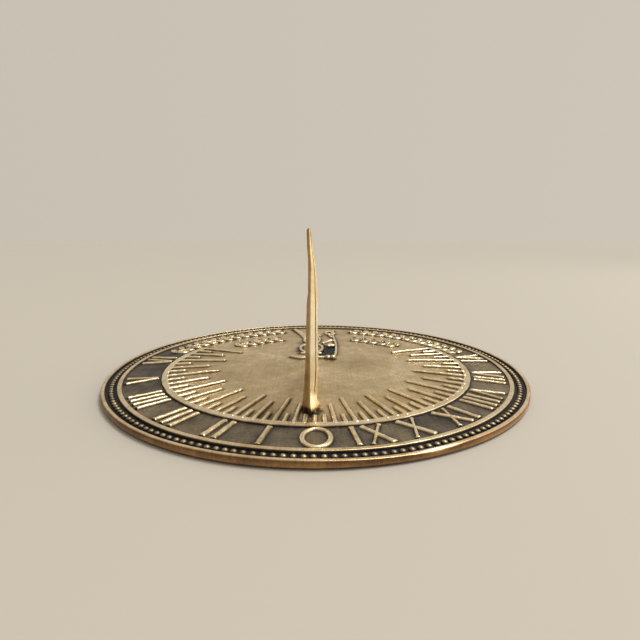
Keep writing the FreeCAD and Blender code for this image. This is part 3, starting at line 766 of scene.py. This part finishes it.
def makeEmblem():
    shell = newShell()
    middle, foot, waist, head = (emblem[k] for k in ("middle", "foot", "waist", "head"))
    board = emblem["boardHalfWidth"]
    for y in (foot, head):
        addBar(shell, np.array([middle - board, y]), np.array([middle + board, y]),
               emblem["boardStroke"])
    share = np.linspace(0, 1, 40)
    # the glass: each side swells from a board and comes in to the narrow neck
    for end, swell in ((foot, emblem["lowerBulb"]), (head, emblem["upperBulb"])):
        fullness = np.sin(math.pi * (1 - share) ** 0.8 * 0.86 + 0.05) ** 0.9
        bulge = emblem["neck"] + (swell - emblem["neck"]) * fullness
        for side in (-1, 1):
            line = np.stack([middle + side * bulge, end + (waist - end) * (0.05 + 0.95 * share)], axis=1)
            addCurve(shell, line, emblem["glassStroke"], height=relief * emblem["glassRise"])
    for _ in range(emblem["sandGrains"]):  # a heap of sand in the lower glass
        spread = chance.uniform(-1, 1, 2)
        wide, tall = emblem["sandHalfSize"]
        heap = (middle + spread[0] * wide * (1 - 0.3 * spread[1]),
                foot + emblem["sandAbove"] + spread[1] * tall)
        addDome(shell, heap, 1.0, dial["ground"], relief * 0.6, rubFoot=0.2, rubTop=0.9, around=8,
                rings=4)

    for half, rise, taper, count, points in emblem["scythe"]:
        addCurve(shell, smoothLine(points, count), half, height=relief * rise, taper=taper)
    for place, size, rise in emblem["knobs"]:
        addDome(shell, place, size, dial["ground"], relief * rise, rubFoot=0.3, around=18, rings=8)
    half, rise, taper, count, points = emblem["plume"]
    addCurve(shell, smoothLine(points, count), half, height=relief * rise, taper=taper)
    return makePiece("emblem", shell, [castBrass])


def roundCorner(before, corner, after, reach, steps=4):
    # points of a soft bend in place of a sharp corner
    before, corner, after = (np.array(p, float) for p in (before, corner, after))
    into = before - corner
    out = after - corner
    start = corner + into / np.linalg.norm(into) * reach
    end = corner + out / np.linalg.norm(out) * reach
    shares = np.linspace(0, 1, steps)[:, None]
    return (1 - shares) ** 2 * start + 2 * shares * (1 - shares) * corner + shares**2 * end


# darker patches on the flat ground, most of them left by handling, and a painted shadow under the gnomon's
# nose: place, reach and depth of tone
stainsAndShadow = [
    (25.0, -4.0, 11.0, 0.14), (34.0, 9.0, 8.0, 0.08), (-24.0, 2.0, 14.0, 0.06), (-6.0, -34.0, 13.0, 0.07),
    (12.0, -46.0, 9.0, 0.06),
    # black that lodged beside the hourglass and between the bars near noon
    (-12.0, 36.0, 4.0, 0.55), (-12.0, 44.0, 3.5, 0.45), (-12.0, 60.0, 4.0, 0.35), (-24.0, -81.0, 9.0, 0.16),
    (-9.0, -86.0, 9.0, 0.16), (13.0, -86.0, 9.0, 0.14), (29.0, -80.0, 8.0, 0.08),
    # painted shadow: black on the ground in the narrow gap under the gnomon's nose
    (-6.4, -73.0, 1.6, 0.6), (-5.9, -76.0, 1.6, 0.7), (-4.6, -79.0, 1.6, 0.7), (-2.8, -82.2, 1.6, 0.7),
    (-0.6, -82.2, 1.6, 0.7), (1.2, -79.8, 1.6, 0.7), (2.6, -76.8, 1.6, 0.7),
    # duller ground on the evening side and between the numerals
    (-104.0, -18.0, 34.0, 0.14), (-104.0, 14.0, 26.0, 0.12), (54.0, -91.0, 20.0, 0.18),
]
# how rubbed the flat ground is, and how much darker it gets beside raised work: how much, and over
# how many millimetres
groundTone = {
    "field": 0.84,
    "fieldShade": (0.07, 1.4),
    "fieldEdge": (0.30, 0.5),
    "betweenBars": (0.32, 2.2),
    "betweenLeaves": (0.36, 1.2),
    "numeralRing": 0.47,
    "numeralShade": (0.16, 1.8),
    "numeralEdge": (0.22, 0.6),
    "barsReach": (9.0, 122.0),     # inwards from the hour ring, and degrees from noon
    "leavesFrom": (68.0, 100.0),   # radius, and degrees from noon
    "emblemReach": (24.0, 112.0),  # from the noon line and from the east-west line, and radius
    "emblemGain": 1.5,
    "darkest": 0.02,
    "centre": 0.8,
    "sunkPanel": 0.03,
}
# the moulded edge, from its recesses to its tops, and the side, which is painted darker as a painted
# reflection of a dark table top
edgeTone = {"top": 0.93, "side": 0.64, "worn": 0.95}
# painted highlight: the turned side is made lighter here, where a bright reflection lies on it
sidePaintedHighlight = {"angle": -62.0, "spread": 26.0, "gain": 0.3}
# where the rim was dressed flat after a knock
wornRim = {"angle": -23.0, "spread": 4.6, "depth": 0.9}


def patinaOnGround(x, y):
    # dark close beside raised work and greyer in the numeral ring
    tree = kdtree.KDTree(sum(len(line) for line, _ in traces))
    widths = []
    for line, half in traces:
        for point in line:
            tree.insert((point[0], point[1], 0), len(widths))
            widths.append(half)
    tree.balance()
    gap = np.empty(len(x))
    for i, (px, py) in enumerate(zip(x, y)):
        _, index, distance = tree.find((px, py, 0))
        gap[i] = max(0.0, distance - widths[index])
    radius = np.hypot(x, y)
    angle = np.abs(np.degrees(np.arctan2(-x, -y)))
    inRing = np.clip((radius - dial["hourRingOuter"] + 0.5) / 1.0, 0, 1)
    inRing *= np.clip((dial["guardRingInner"] + 0.5 - radius) / 1.0, 0, 1)
    inRing *= np.clip((dial["hourRingHalfAngle"] + 2 - angle) / 6, 0, 1)

    def shade(key):
        depth, reach = groundTone[key]
        return depth * np.exp(-gap / reach)

    def edge(key):
        depth, reach = groundTone[key]
        return depth * np.exp(-((gap / reach) ** 2))

    field = groundTone["field"] - shade("fieldShade") - edge("fieldEdge")
    inwards, widest = groundTone["barsReach"]
    nearRing = np.clip(1 - (dial["hourRingInner"] - radius) / inwards, 0, 1) * (angle < widest)
    field -= nearRing * shade("betweenBars")
    leafRadius, leafAngle = groundTone["leavesFrom"]
    behind = np.clip((angle - leafAngle) / 8, 0, 1) * np.clip((radius - leafRadius) / 6, 0, 1)
    emblemReach, emblemRadius = groundTone["emblemReach"]
    byEmblem = (y > emblemReach) & (radius < emblemRadius) & (np.abs(x) < emblemReach)
    behind = np.maximum(behind, groundTone["emblemGain"] * byEmblem)
    field -= behind * shade("betweenLeaves")
    ring = groundTone["numeralRing"] - shade("numeralShade") - edge("numeralEdge")
    tone = field * (1 - inRing) + ring * inRing
    # handling stains, and the painted shadow under the gnomon's nose
    for patchX, patchY, reach, depth in stainsAndShadow:
        tone -= depth * np.exp(-((x - patchX) ** 2 + (y - patchY) ** 2) / reach**2)
    return np.maximum(tone, groundTone["darkest"])


def makePlate():
    shell = newShell()
    top, ground = dial["rimTop"], dial["ground"]
    floor = top - dial["channelDepth"]
    radius, lip = dial["radius"], dial["radius"] - dial["rimWidth"]
    under = dial["underside"]
    count = dial["segments"]
    turn = np.linspace(0, 360, count, endpoint=False)

    # the flat ground, in rings from the middle outwards
    outermost = (dial["ringSteps"][-1][1], dial["guardRingInner"] - 0.4, dial["outerRingStep"])
    flatRadii = np.concatenate([np.arange(*steps) for steps in [*dial["ringSteps"], outermost]])
    # the moulded edge: guard ring, bead channel, rim and side
    inner = dial["guardRingInner"]
    corners = [(inner - 0.35, ground), (inner, ground), (inner + 0.05, top), (dial["channelInner"], top),
               (dial["channelInner"] + 0.12, floor), (lip - 0.12, floor), (lip, top), (radius, top),
               (radius, under), (radius - dial["edgeRound"] * 2, under)]
    moulding = [np.array([corners[0]], float)]
    for i, reach in enumerate([*dial["corners"], dial["rimRound"], dial["edgeRound"]], 1):
        moulding.append(roundCorner(corners[i - 1], corners[i], corners[i + 1], reach))
    moulding.append(np.array([corners[-1]], float))
    edge = np.concatenate(moulding)
    rings = [(r, ground) for r in flatRadii] + [tuple(p) for p in edge]
    radii = np.array([r for r, _ in rings])
    highs = np.array([z for _, z in rings])

    flat = onPlate(turn[None, :], radii[:, None])
    x, y = flat[..., 0], flat[..., 1]
    z = np.repeat(highs[:, None], count, axis=1)
    rub = np.empty_like(z)
    flatCount = len(flatRadii) + 2
    ringsOfGround = slice(0, flatCount)
    groundRub = patinaOnGround(x[ringsOfGround].ravel(), y[ringsOfGround].ravel())
    sunk = insidePanel(x[ringsOfGround], y[ringsOfGround])
    rub[ringsOfGround] = groundRub.reshape(flatCount, count) * (1 - sunk) + groundTone["sunkPanel"] * sunk
    z[ringsOfGround] -= sunk * emblem["panelDepth"]
    rise = np.clip((highs - floor) / (top - floor), 0, 1)
    for ring in range(flatCount, len(rings)):
        value = rise[ring] ** 2.4 * edgeTone["top"]
        if radii[ring] > dial["channelInner"] + 0.5 and radii[ring] < lip + 0.1:
            value = rise[ring] ** 3
        rub[ring] = value
    # the turned side's own tone: darker overall as a painted reflection
    side = np.clip((radii - (radius - 0.15)) / 0.1, 0, 1) * np.clip((top - 0.45 - highs) / 0.5, 0, 1)
    side = side[:, None]
    degrees = np.degrees(np.arctan2(-x, -y))
    highlightShare, worn = (near(degrees, patch["angle"], patch["spread"]) for patch in (sidePaintedHighlight, wornRim))
    # the side's tone: darker as a painted reflection, lighter where the painted highlight lies
    rub = rub * (1 - side) + (edgeTone["side"] + sidePaintedHighlight["gain"] * highlightShare) * side
    outer = np.clip((radii - (lip + 0.5)) / (radius - lip - 0.5), 0, 1)[:, None]
    nearTop = np.clip((highs - (top - 1.6)) / 1.6, 0, 1)[:, None]
    z -= wornRim["depth"] * worn * outer * nearTop
    rub = np.maximum(rub, edgeTone["worn"] * worn * outer * nearTop)
    addNet(shell, np.stack([x, y, z], axis=-1), rub, ends="none")
    middle = shell["count"]
    addTo(shell, [(0, 0, ground)], [], groundTone["centre"])
    shell["faces"] += [(middle, (i + 1) % count, i) for i in range(count)]
    shell["slots"] += [0] * count
    addUnderside(shell, radii[-1], count)
    plate = makePiece("dial_casting", shell, [castBrass, roughBrass])
    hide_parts("dial_plate")
    return plate


lugs = {
    "count": 3,
    "circle": 93.7,
    "radius": 7.0,
    "tap": 1.65,
    "tapDepth": 2.4,
    "threadPitch": 0.35,
    "threadDeep": 0.14,
}
screwNames = ("gnomon_screw_front", "gnomon_screw_rear")
screwMiddles = [(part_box(name)[0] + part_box(name)[1]) / 2 * perMetre for name in screwNames]
underside = {
    "screwHead": 4.0,     # radius of a countersunk hole at its mouth
    "screwHole": 2.25,
    "roundness": 40,      # sides of a lug or a hole
    "netStep": 6.0,       # between loose points of the flat back
    "clearance": 1.0,     # of those points from a lug or a hole
}


def circlePoints(middle, radius, count):
    angles = np.linspace(0, 2 * math.pi, count, endpoint=False)
    return np.stack([middle[0] + radius * np.cos(angles), middle[1] + radius * np.sin(angles)], axis=1)


def addTube(shell, middle, levels, count, slot, rub=0.4):
    # a turned surface about an upright axis through (radius, height) levels, closed at its last one
    rings = [np.column_stack([circlePoints(middle, r, count), np.full(count, z)]) for r, z in levels]
    addNet(shell, rings, rub, slot, ends="last")


def addUnderside(shell, outerRadius, count):
    # the flat back with its three tapped lugs and two countersunk screw holes
    under, around = dial["underside"], underside["roundness"]
    head, hole = underside["screwHead"], underside["screwHole"]
    lugMiddles = [onPlate(360 * i / lugs["count"], lugs["circle"]) for i in range(lugs["count"])]
    holeMiddles = [np.array([m.x, m.y]) for m in screwMiddles]
    rounds = [(m, lugs["radius"]) for m in lugMiddles] + [(m, head) for m in holeMiddles]
    loops = [onPlate(np.linspace(0, 360, count, endpoint=False), outerRadius)]
    loops += [circlePoints(m, r, around) for m, r in rounds]
    step = underside["netStep"]
    reach = int(outerRadius / step)
    loose = []
    for i in range(-reach, reach + 1):
        for j in range(-reach, reach + 1):
            p = np.array([(i + 0.5 * (j % 2)) * step, j * step * 0.866])
            clear = all(np.linalg.norm(p - m) > r + underside["clearance"] for m, r in rounds)
            if np.linalg.norm(p) < outerRadius - 2 and clear:
                loose.append(tuple(p))
    flat, faces = fillBetween(loops, loose)
    kept = []
    for face in faces:
        centre = flat[list(face)].mean(axis=0)
        if all(np.linalg.norm(centre - m) > r - 0.02 for m, r in rounds):
            kept.append(face)
    addTo(shell, np.column_stack([flat, np.full(len(flat), under)]), kept, 0.4, 1)
    for m in lugMiddles:
        levels = [(lugs["radius"], under), (lugs["radius"] - 0.1, 0.12), (lugs["radius"] - 0.4, 0.0),
                  (lugs["tap"] + 0.3, 0.0), (lugs["tap"], 0.3)]
        for i in range(int((lugs["tapDepth"] - 0.3) / lugs["threadPitch"])):  # ridges of the thread
            cutIn = lugs["threadDeep"] if i % 2 else 0.0
            levels.append((lugs["tap"] + cutIn, 0.3 + lugs["threadPitch"] * (i + 1)))
        addTube(shell, m, levels, around, 1)
    for m in holeMiddles:
        levels = [(head, under), (hole, under + head - hole), (hole, dial["ground"] - 0.05)]
        addTube(shell, m, levels, around, 1)


gnomon = {
    "tipHigh": gnomonHigh.z * perMetre,
    "southY": gnomonHigh.y * perMetre,
    "tipY": dial["styleFoot"] - (gnomonHigh.z * perMetre - dial["rimTop"]),
    "stand": (gnomonLow.x + gnomonHigh.x) / 2 * perMetre,
    "northLean": 3.2,
    "noseReach": 4.2,
    "noseHigh": 6.0,
    "noseSpread": 4.0,
    "tipRound": 1.4,
    "gap": 0.7,          # the bow stands just clear of the plate
    "keel": 2.4,         # and its keel curves up into it over this height
    "webSetback": 2.5,   # of the web's north edge behind the blade's ridge
    "web": 1.5,          # half thickness at the foot and at the tip
    "webAtTip": 0.6,
    "bandWidth": 6.5,
    "bandHalf": 2.2,
    "styleWidth": 5.2,
    "styleHalfAtTip": 0.95,
    "roundel": 11.5,
    "roundelInset": 18.4,
    "lenses": [((1.5, 52), (7, 34)), ((52, 1.5), (34, 7))],  # both ends, from the bands' corner
    "lensWidth": 7.5,
    "openingRims": [(1.5, 1.2), (0.8, 0.6), (0.8, 0.6)],     # half width, and how far outside
    "boss": 2.7,
    "bossTop": 10.2,
    "bossSides": 28,
    # The casting was filed by hand, so its north edge is described at a few heights: its evening and
    # morning edges and its ridge, from the casting's middle, and how long the bow in front of its
    # shoulders is in half widths.
    "heights": [3.0, 5.0, 6.2, 7.6, 9.0, 12.0, 15.0, 24.0, 39.0, 54.0, 57.5, 60.5, 64.5, 68.0, 72.0, 77.0,
                82.0, 88.0, 89.9],
    "evening": [-4.6, -5.0, -4.9, -4.7, -4.5, -4.2, -3.9, -3.3, -2.9, -2.4, -2.2, -1.65, -1.8, -1.55, -1.2,
                -1.75, -2.1, -2.2, -2.1],
    "morning": [4.4, 4.8, 4.4, 3.3, 2.5, 2.1, 2.4, 3.0, 2.85, 2.7, 2.6, 2.45, 2.4, 2.25, 1.75, 1.1, 0.4,
                -0.1, -0.4],
    "ridge": [0.0, -0.1, -0.3, -0.6, -0.68, -0.75, -0.75, -0.7, -0.55, -0.4, -0.37, -0.35, -0.32, -0.28,
              -0.16, -0.4, -0.7, -1.0, -1.1],
    "bow": [1.8, 1.8, 1.75, 1.6, 1.4, 1.25, 1.1] + [1.0] * 8 + [0.95, 0.9, 0.9, 0.9],
    "soften": 0.9,
    # brightness by height: lower at the foot, full low down, and less towards the tip
    "toneHeights": [7.0, 13.0, 30.0, 55.0, 72.0, 90.0],
    "heightTone": [0.82, 1.0, 1.0, 0.9, 0.72, 0.62],
    # the whole casting leans a little towards its tip
    "leanHeights": [0.0, 30.0, 66.0, 74.0, 84.0, 90.0],
    "lean": [0.0, 0.0, 0.3, 0.0, -0.95, -1.25],
    # leaves that curl off the north edge: height of the root, rise, reach and bend
    "northLeaves": [(24, 13, 6.5, 1.6), (33, 14, 6.0, -1.6), (43, 13, 5.0, 1.4), (52, 11, 4.0, -1.2),
                    (12, 12, 8.0, 1.8)],
    # and along the base: place of the root, rise, reach and bend
    "baseLeaves": [(18, 3.2, 12, -1.5), (30, 3.0, 12, 1.5), (41, 3.0, 11, -1.4), (52, 2.6, 10, 1.2)],
    "petals": 8,
    "petalReach": (14.0, 19.5),  # from the roundel's middle
    # half width and rise of each kind of leaf
    "northLeaf": (2.5, 1.35),
    "baseLeaf": (2.2, 1.2),
    "petal": (1.7, 1.1),
}


def atHeight(z, key):
    # one of the hand-filed sizes at a height, blended softly between the heights that are given
    soft = np.linspace(-1, 1, 7) * gnomon["soften"]
    values = [np.interp(np.asarray(z) + step, gnomon["heights"], gnomon[key]) for step in soft]
    return np.mean(values, axis=0)


def gnomonLean(z):
    return gnomon["stand"] + np.interp(z, gnomon["leanHeights"], gnomon["lean"])


def webHalf(z):
    # the web thins towards the tip, so that it stays behind the blade and inside the style rail
    return np.interp(z, [dial["ground"], gnomon["tipHigh"]], [gnomon["web"], gnomon["webAtTip"]])


# The north blade's section on each side of its ridge: share of the way out to the side, how far back
# in bow lengths, and how bright. The evening facet is painted dark as painted shade and the morning
# facet painted bright as painted light; the morning side also has a filed groove, which runs out above the
# foot.
eveningFacetShaded = [(0.34, 0.30, 0.56), (0.70, 0.64, 0.54), (0.93, 0.90, 0.58), (1.0, 1.02, 0.7),
               (0.97, 1.3, 0.5)]
morningFacetLit = [(0.30, 0.27, 1.0), (0.56, 0.52, 1.0), (0.63, 0.60, 0.95), (0.68, 0.66, 0.95),
               (0.76, 0.76, 0.95), (0.94, 0.96, 1.0), (1.0, 1.06, 0.95), (0.97, 1.3, 0.5)]
groove = {"share": 0.68, "deep": 0.2, "dull": 0.6, "endsAt": 12.0, "runOut": 4.0}


def addNorthBlade(shell):
    # the upright north edge: a ridge between two filed facets, widening to a boat-shaped foot
    ground, tip = dial["ground"], gnomon["tipHigh"]
    tall = tip - ground
    gap, keel = gnomon["gap"], gnomon["keel"]
    foot = np.linspace(gap, 10, 20)
    shaft = np.linspace(11, tall - 3, 76)
    head = np.linspace(tall - 2.4, tall, 7)
    rows, rub = [], []
    for high in np.concatenate([foot, shaft, head]):
        z = ground + high
        share = high / tall
        evening, morning, ridge, bow = (float(atHeight(z, key))
                                        for key in ("evening", "morning", "ridge", "bow"))
        middle = (evening + morning) / 2
        overTop = max(0.0, (high - tall + gnomon["tipRound"]) / gnomon["tipRound"])
        end = math.sqrt(max(0.03, 1 - overTop**2))  # the rounded tip
        low = max(0.0, 1 - (high - gap) / keel) ** 2
        half = (morning - evening) / 2 * end * (1 - 0.16 * low)
        half *= 1 + 0.012 * math.sin(high * 0.9) + 0.012 * math.sin(high * 0.37 + 1)
        ridge = middle + (ridge - middle) * end
        nose = float(near(z, gnomon["noseHigh"], gnomon["noseSpread"]))
        ridgeY = gnomon["tipY"] - gnomon["northLean"] * (1 - share) - gnomon["noseReach"] * nose
        ridgeY += 1.3 * low + 0.9 * (1 - end)
        length = half * bow
        back = ridgeY + length + (3.2 - 1.5 * share) * (0.4 + 0.6 * end)
        left = [(ridge + s * (middle - half - ridge), ridgeY + d * length, r) for s, d, r in eveningFacetShaded]
        cut = min(1.0, max(0.0, (z - groove["endsAt"]) / groove["runOut"]))
        right = []
        for s, d, r in morningFacetLit:
            if s == groove["share"]:
                d += groove["deep"] * cut
                r -= groove["dull"] * cut
            right.append((ridge + s * (middle + half - ridge), ridgeY + d * length, r))
        left.append((middle - half * 0.8, back, 0.35))
        right.append((middle + half * 0.8, back, 0.35))
        ring = left[::-1] + [(ridge, ridgeY, 1.0)] + right
        heightTone = float(np.interp(z, gnomon["toneHeights"], gnomon["heightTone"]))
        rows.append([(x + gnomon["stand"], y, z) for x, y, _ in ring])
        # painted shade: the lowest part of the keel, just over the plate, is made darker
        rub.append([r * heightTone - 0.5 * low if r > 0.8 else r - 0.4 * low for _, _, r in ring])
    addNet(shell, rows, rub)


# a rail's section: share of its half width, how far in from its outer edge, and how bright
railSide = [(-1.0, 0.16, 0.95), (-1.0, 0.7, 0.85), (-0.9, 0.9, 0.6), (-0.7, 1.0, 0.4)]


def addRail(shell, start, end, halfStart, halfEnd, deep, edgeShare):
    # a straight rail in the gnomon's plane: the style itself, or the base bar
    start, end = np.array(start, float), np.array(end, float)
    length = np.linalg.norm(end - start)
    along = (end - start) / length
    inward = np.array([along[1], -along[0]])  # from the outer edge towards the web
    left = [(-edgeShare, 0.0, 1.0)] + railSide
    outline = left + [(-s, d, r) for s, d, r in left[::-1]]
    rows, rub = [], []
    for place in np.concatenate([[0, 0.3], np.linspace(1, length - 1, 50), [length - 0.3, length]]):
        share = place / length
        half = halfStart + (halfEnd - halfStart) * share
        small = min(1.0, 0.6 + min(place, length - place) * 0.35)  # both ends are rounded
        half *= small * (1 + 0.015 * math.sin(place * 0.7))
        spot = start + along * place
        thick = deep * min(1.0, 0.25 + place / 10)  # it grows out of the tip
        row = []
        for s, d, r in outline:
            y, z = spot + inward * d * thick
            z = max(z, dial["ground"])
            row.append((s * half + float(gnomonLean(z)), y, z))
        rows.append(row)
        rub.append([r for _, _, r in outline])
    addNet(shell, rows, rub)


def lensPoints(tip, tail, width):
    # the two arcs of a pointed oval
    along = tail - tip
    aside = np.array([-along[1], along[0]]) / np.linalg.norm(along)
    shares = np.linspace(0, 1, 18)
    bow = np.sin(math.pi * shares) * width / 2
    one = tip + along * shares[:, None] + aside * bow[:, None]
    other = tip + along * shares[:, None] - aside * bow[:, None]
    return np.concatenate([one[:-1], other[::-1][:-1]])


def webNorth():
    return gnomon["tipY"] - gnomon["northLean"] + gnomon["webSetback"]


def gnomonOpenings():
    corner = np.array([webNorth(), dial["ground"]]) + gnomon["bandWidth"]
    middle = corner + gnomon["roundelInset"]
    turn = np.linspace(0, 2 * math.pi, 64, endpoint=False)
    roundel = middle + gnomon["roundel"] * np.stack([np.cos(turn), np.sin(turn)], axis=1)
    lenses = [lensPoints(corner + tip, corner + tail, gnomon["lensWidth"]) for tip, tail in gnomon["lenses"]]
    return middle, [roundel, *lenses]


def holds(loop, p):
    # whether a closed line goes round a point
    crossings = 0
    for a, b in zip(loop, np.roll(loop, -1, axis=0)):
        if (a[1] > p[1]) != (b[1] > p[1]):
            crossings += p[0] < a[0] + (p[1] - a[1]) / (b[1] - a[1]) * (b[0] - a[0])
    return crossings % 2 == 1


def addWeb(shell):
    # the thin pierced web between the rails
    openings = gnomonOpenings()[1]
    ground, north, south, top = dial["ground"], webNorth(), gnomon["southY"], gnomon["tipHigh"]
    outline = np.array([(north, ground + 0.2), (south - 2.0, ground + 0.2),
                        (gnomon["tipY"] + 2.4, top - 4.2), (gnomon["tipY"] + 1.3, top - 5.0)])
    loose = []
    step = 3.0
    for i in range(int((south - north) / step)):
        for j in range(int((top - ground) / step)):
            p = np.array([north + (i + 0.5) * step, ground + (j + 0.5) * step])
            inside = p[0] + p[1] < south + ground - 4
            if inside and all(np.min(np.linalg.norm(loop - p, axis=1)) > step / 2 for loop in openings):
                loose.append(tuple(p))
    flat, faces = fillBetween([outline, *openings], loose)
    middles = [flat[list(face)].mean(axis=0) for face in faces]
    kept = [face for face, p in zip(faces, middles) if not any(holds(loop, p) for loop in openings)]

    def stood(points, side):
        return np.column_stack([side * webHalf(points[:, 1]) + gnomonLean(points[:, 1]), points])

    for side in (-1, 1):
        addTo(shell, stood(flat, side), kept, 0.5)
    for loop in [outline, *openings]:
        addNet(shell, [stood(loop, -1), stood(loop, 1)], 0.4, ends="none")


def addOnSide(shell, make):
    # makes flat raised work on a scratch shell and stands it on both faces of the web
    for side in (-1, 1):
        scratch = newShell()
        make(scratch)
        points = np.concatenate(scratch["points"])
        y, z = points[:, 0], points[:, 1]
        # it gets lower towards the tip
        above = (points[:, 2] - dial["ground"]) * np.interp(z, [40, 58], [0.8, 0.3])
        stood = np.column_stack([side * (webHalf(z) + above) + gnomonLean(z), y, z])
        addTo(shell, stood, scratch["faces"], np.concatenate(scratch["rub"]))


def gnomonRelief(shell):
    # rings round the openings, and leaves that curl off the north edge and the corners
    middle, openings = gnomonOpenings()
    for loop, (half, push) in zip(openings, gnomon["openingRims"]):
        centre = loop.mean(axis=0)
        outward = loop - centre
        outward /= np.linalg.norm(outward, axis=1)[:, None]
        line = loop + outward * push
        line = np.concatenate([line, line[:2]])
        addStroke(shell, line, np.full(len(line), half), np.full(len(line), relief * 0.95))
    north, ground = webNorth() + 3.6, dial["ground"]
    half, high = gnomon["northLeaf"]
    for base, rise, reach, bend in gnomon["northLeaves"]:
        tail = np.array([north, ground + base])
        addLeaf(shell, tail, tail + [reach, rise], half, bend, high)
    half, high = gnomon["baseLeaf"]
    for base, rise, reach, bend in gnomon["baseLeaves"]:
        tail = np.array([north + base, ground + 7.0])
        addLeaf(shell, tail, tail + [reach, rise], half, bend, high)
    half, high = gnomon["petal"]
    root, end = gnomon["petalReach"]
    for turn in np.linspace(0, 2 * math.pi, gnomon["petals"], endpoint=False):
        way = np.array([math.cos(turn), math.sin(turn)])
        addLeaf(shell, middle + way * root, middle + way * end, half, 0.4, high)


def makeGnomon():
    shell = newShell()
    ground = dial["ground"]
    addNorthBlade(shell)
    tip = (gnomon["tipY"] + 1.6, gnomon["tipHigh"] - 1.6)
    half = gnomon["bandHalf"]
    addRail(shell, tip, (gnomon["southY"], ground + 0.05), gnomon["styleHalfAtTip"], half,
            gnomon["styleWidth"], 0.55)
    addRail(shell, (gnomon["southY"] - 3.0, ground), (webNorth() - 0.5, ground), half, half,
            gnomon["bandWidth"], 0.96)
    boss, bossTop = gnomon["boss"], ground + gnomon["bossTop"]
    for middle in screwMiddles:  # a boss round each tapped hole, rounded at its head
        levels = [(boss, ground), (boss, bossTop - 1.4), (boss - 0.3, bossTop - 0.6),
                  (boss - 1.0, bossTop - 0.1), (0.5, bossTop)]
        addTube(shell, middle, levels, gnomon["bossSides"], 0, rub=0.8)
    addWeb(shell)
    before = len(traces)
    addOnSide(shell, gnomonRelief)
    del traces[before:]
    piece = makePiece("gnomon_casting", shell, [brightBrass], wavy=False)
    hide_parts("gnomon")
    return piece


makeHourBars()
makeHourRing()
makeNumerals()
makeNoonMark()
makeLeafRows()
makeEmblem()
print("raised work made")
makePlate()
makeBeads()
print("plate made")
makeGnomon()
print("gnomon made")
for name in screwNames:
    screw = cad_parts[name]
    screw.data.materials.clear()
    screw.data.materials.append(rodBrass)
print("screws finished")


studio = {
    "floor": "#bcb6ac",
    # the room's tone from the evening side round to the window on the morning side
    "room": [(0.0, "#8d8579"), (0.19, "#c8c0b2"), (0.80, "#cdc5b7"), (1.0, "#f1ece1")],
    "roomPower": 1.0,
    "skylightPower": 1.9,
    "skylightFrom": (0.34, 0.16, 0.92),
    "skylightSpread": 25.0,  # degrees: a soft skylight that still glints on rounded bars
    "skylightColour": "#fffdfa",
    "windowPower": 5.0,
    "windowColour": "#fff9ef",
    "windowPlace": (1.2, -0.1, 0.42),  # metres
    "windowAim": (0, -0.1, 0.3),
    "windowSize": (1.4, 0.8),
    "floorReach": 6.0,
}


def makeFloor():
    floorMesh = bpy.data.meshes.new("studioFloor")
    far = studio["floorReach"]
    corners = [(-far, -far, 0), (far, -far, 0), (far, far, 0), (-far, far, 0)]
    floorMesh.from_pydata(corners, [], [(0, 1, 2, 3)])
    floor = bpy.data.objects.new("studio_floor", floorMesh)
    bpy.context.scene.collection.objects.link(floor)
    material, tree, place = newMaterial("paintedBoard")
    tone = addNode(tree, "TexNoise", {"Vector": place, "Scale": 3.0, "Detail": 4.0}).outputs["Fac"]
    roughness = addNode(tree, "MapRange", {"Value": tone, "To Min": 0.6, "To Max": 0.8}).outputs["Result"]
    shader = addNode(tree, "BsdfPrincipled", {"Base Color": linear(studio["floor"]), "Roughness": roughness})
    addNode(tree, "OutputMaterial", {"Surface": shader.outputs["BSDF"]})
    floorMesh.materials.append(material)


def addLamp(name, kind, power, colour, shining):
    light = bpy.data.lights.new(name, kind)
    light.energy = power
    light.color = linear(colour)[:3]
    lamp = bpy.data.objects.new(name, light)
    lamp.rotation_euler = Vector(shining).to_track_quat("-Z", "Y").to_euler()
    bpy.context.scene.collection.objects.link(lamp)
    return lamp


def makeLight():
    world = bpy.data.worlds.new("studio")
    bpy.context.scene.world = world
    world.use_nodes = True
    tree = world.node_tree
    tree.nodes.clear()
    way = addNode(tree, "TexCoord").outputs["Generated"]
    side = addNode(tree, "SeparateXYZ", {"Vector": way}).outputs["X"]
    across = addNode(tree, "MapRange", {"Value": side, "From Min": -1.0, "From Max": 1.0})
    tones = addNode(tree, "ValToRGB", {"Fac": across.outputs["Result"]})
    setRamp(tones, studio["room"])
    room = addNode(tree, "Background", {"Color": tones.outputs["Color"], "Strength": studio["roomPower"]})
    addNode(tree, "OutputWorld", {"Surface": room.outputs["Background"]})
    sky = addLamp("skylight", "SUN", studio["skylightPower"], studio["skylightColour"],
                  -Vector(studio["skylightFrom"]))
    sky.data.angle = math.radians(studio["skylightSpread"])
    shining = Vector(studio["windowAim"]) - Vector(studio["windowPlace"])
    window = addLamp("windowSoftbox", "AREA", studio["windowPower"], studio["windowColour"], shining)
    window.data.shape = "RECTANGLE"
    window.data.size, window.data.size_y = studio["windowSize"]
    window.location = studio["windowPlace"]
    window.visible_camera = False  # seen only as light and in the metal


view = {
    "sensor": 36.0,
    "lens": 24.975,
    "tiltDown": 10.874,                  # degrees
    "place": (0.0186, -2.2014, 0.6519),  # in plate radii, from the middle of the rim's top
    "nearest": 0.005,
}


def makeCamera():
    data = bpy.data.cameras.new("camera")
    data.sensor_width = view["sensor"]
    data.lens = view["lens"]
    data.clip_start = view["nearest"]
    camera = bpy.data.objects.new("camera", data)
    camera.location = Vector(view["place"]) * dial["radius"] / perMetre
    camera.location.z += dial["rimTop"] / perMetre
    camera.rotation_euler = (math.radians(90 - view["tiltDown"]), 0, 0)
    bpy.context.scene.collection.objects.link(camera)
    bpy.context.scene.camera = camera


makeFloor()
makeLight()
makeCamera()
bpy.context.scene.view_settings.view_transform = "Standard"
print("stage set")
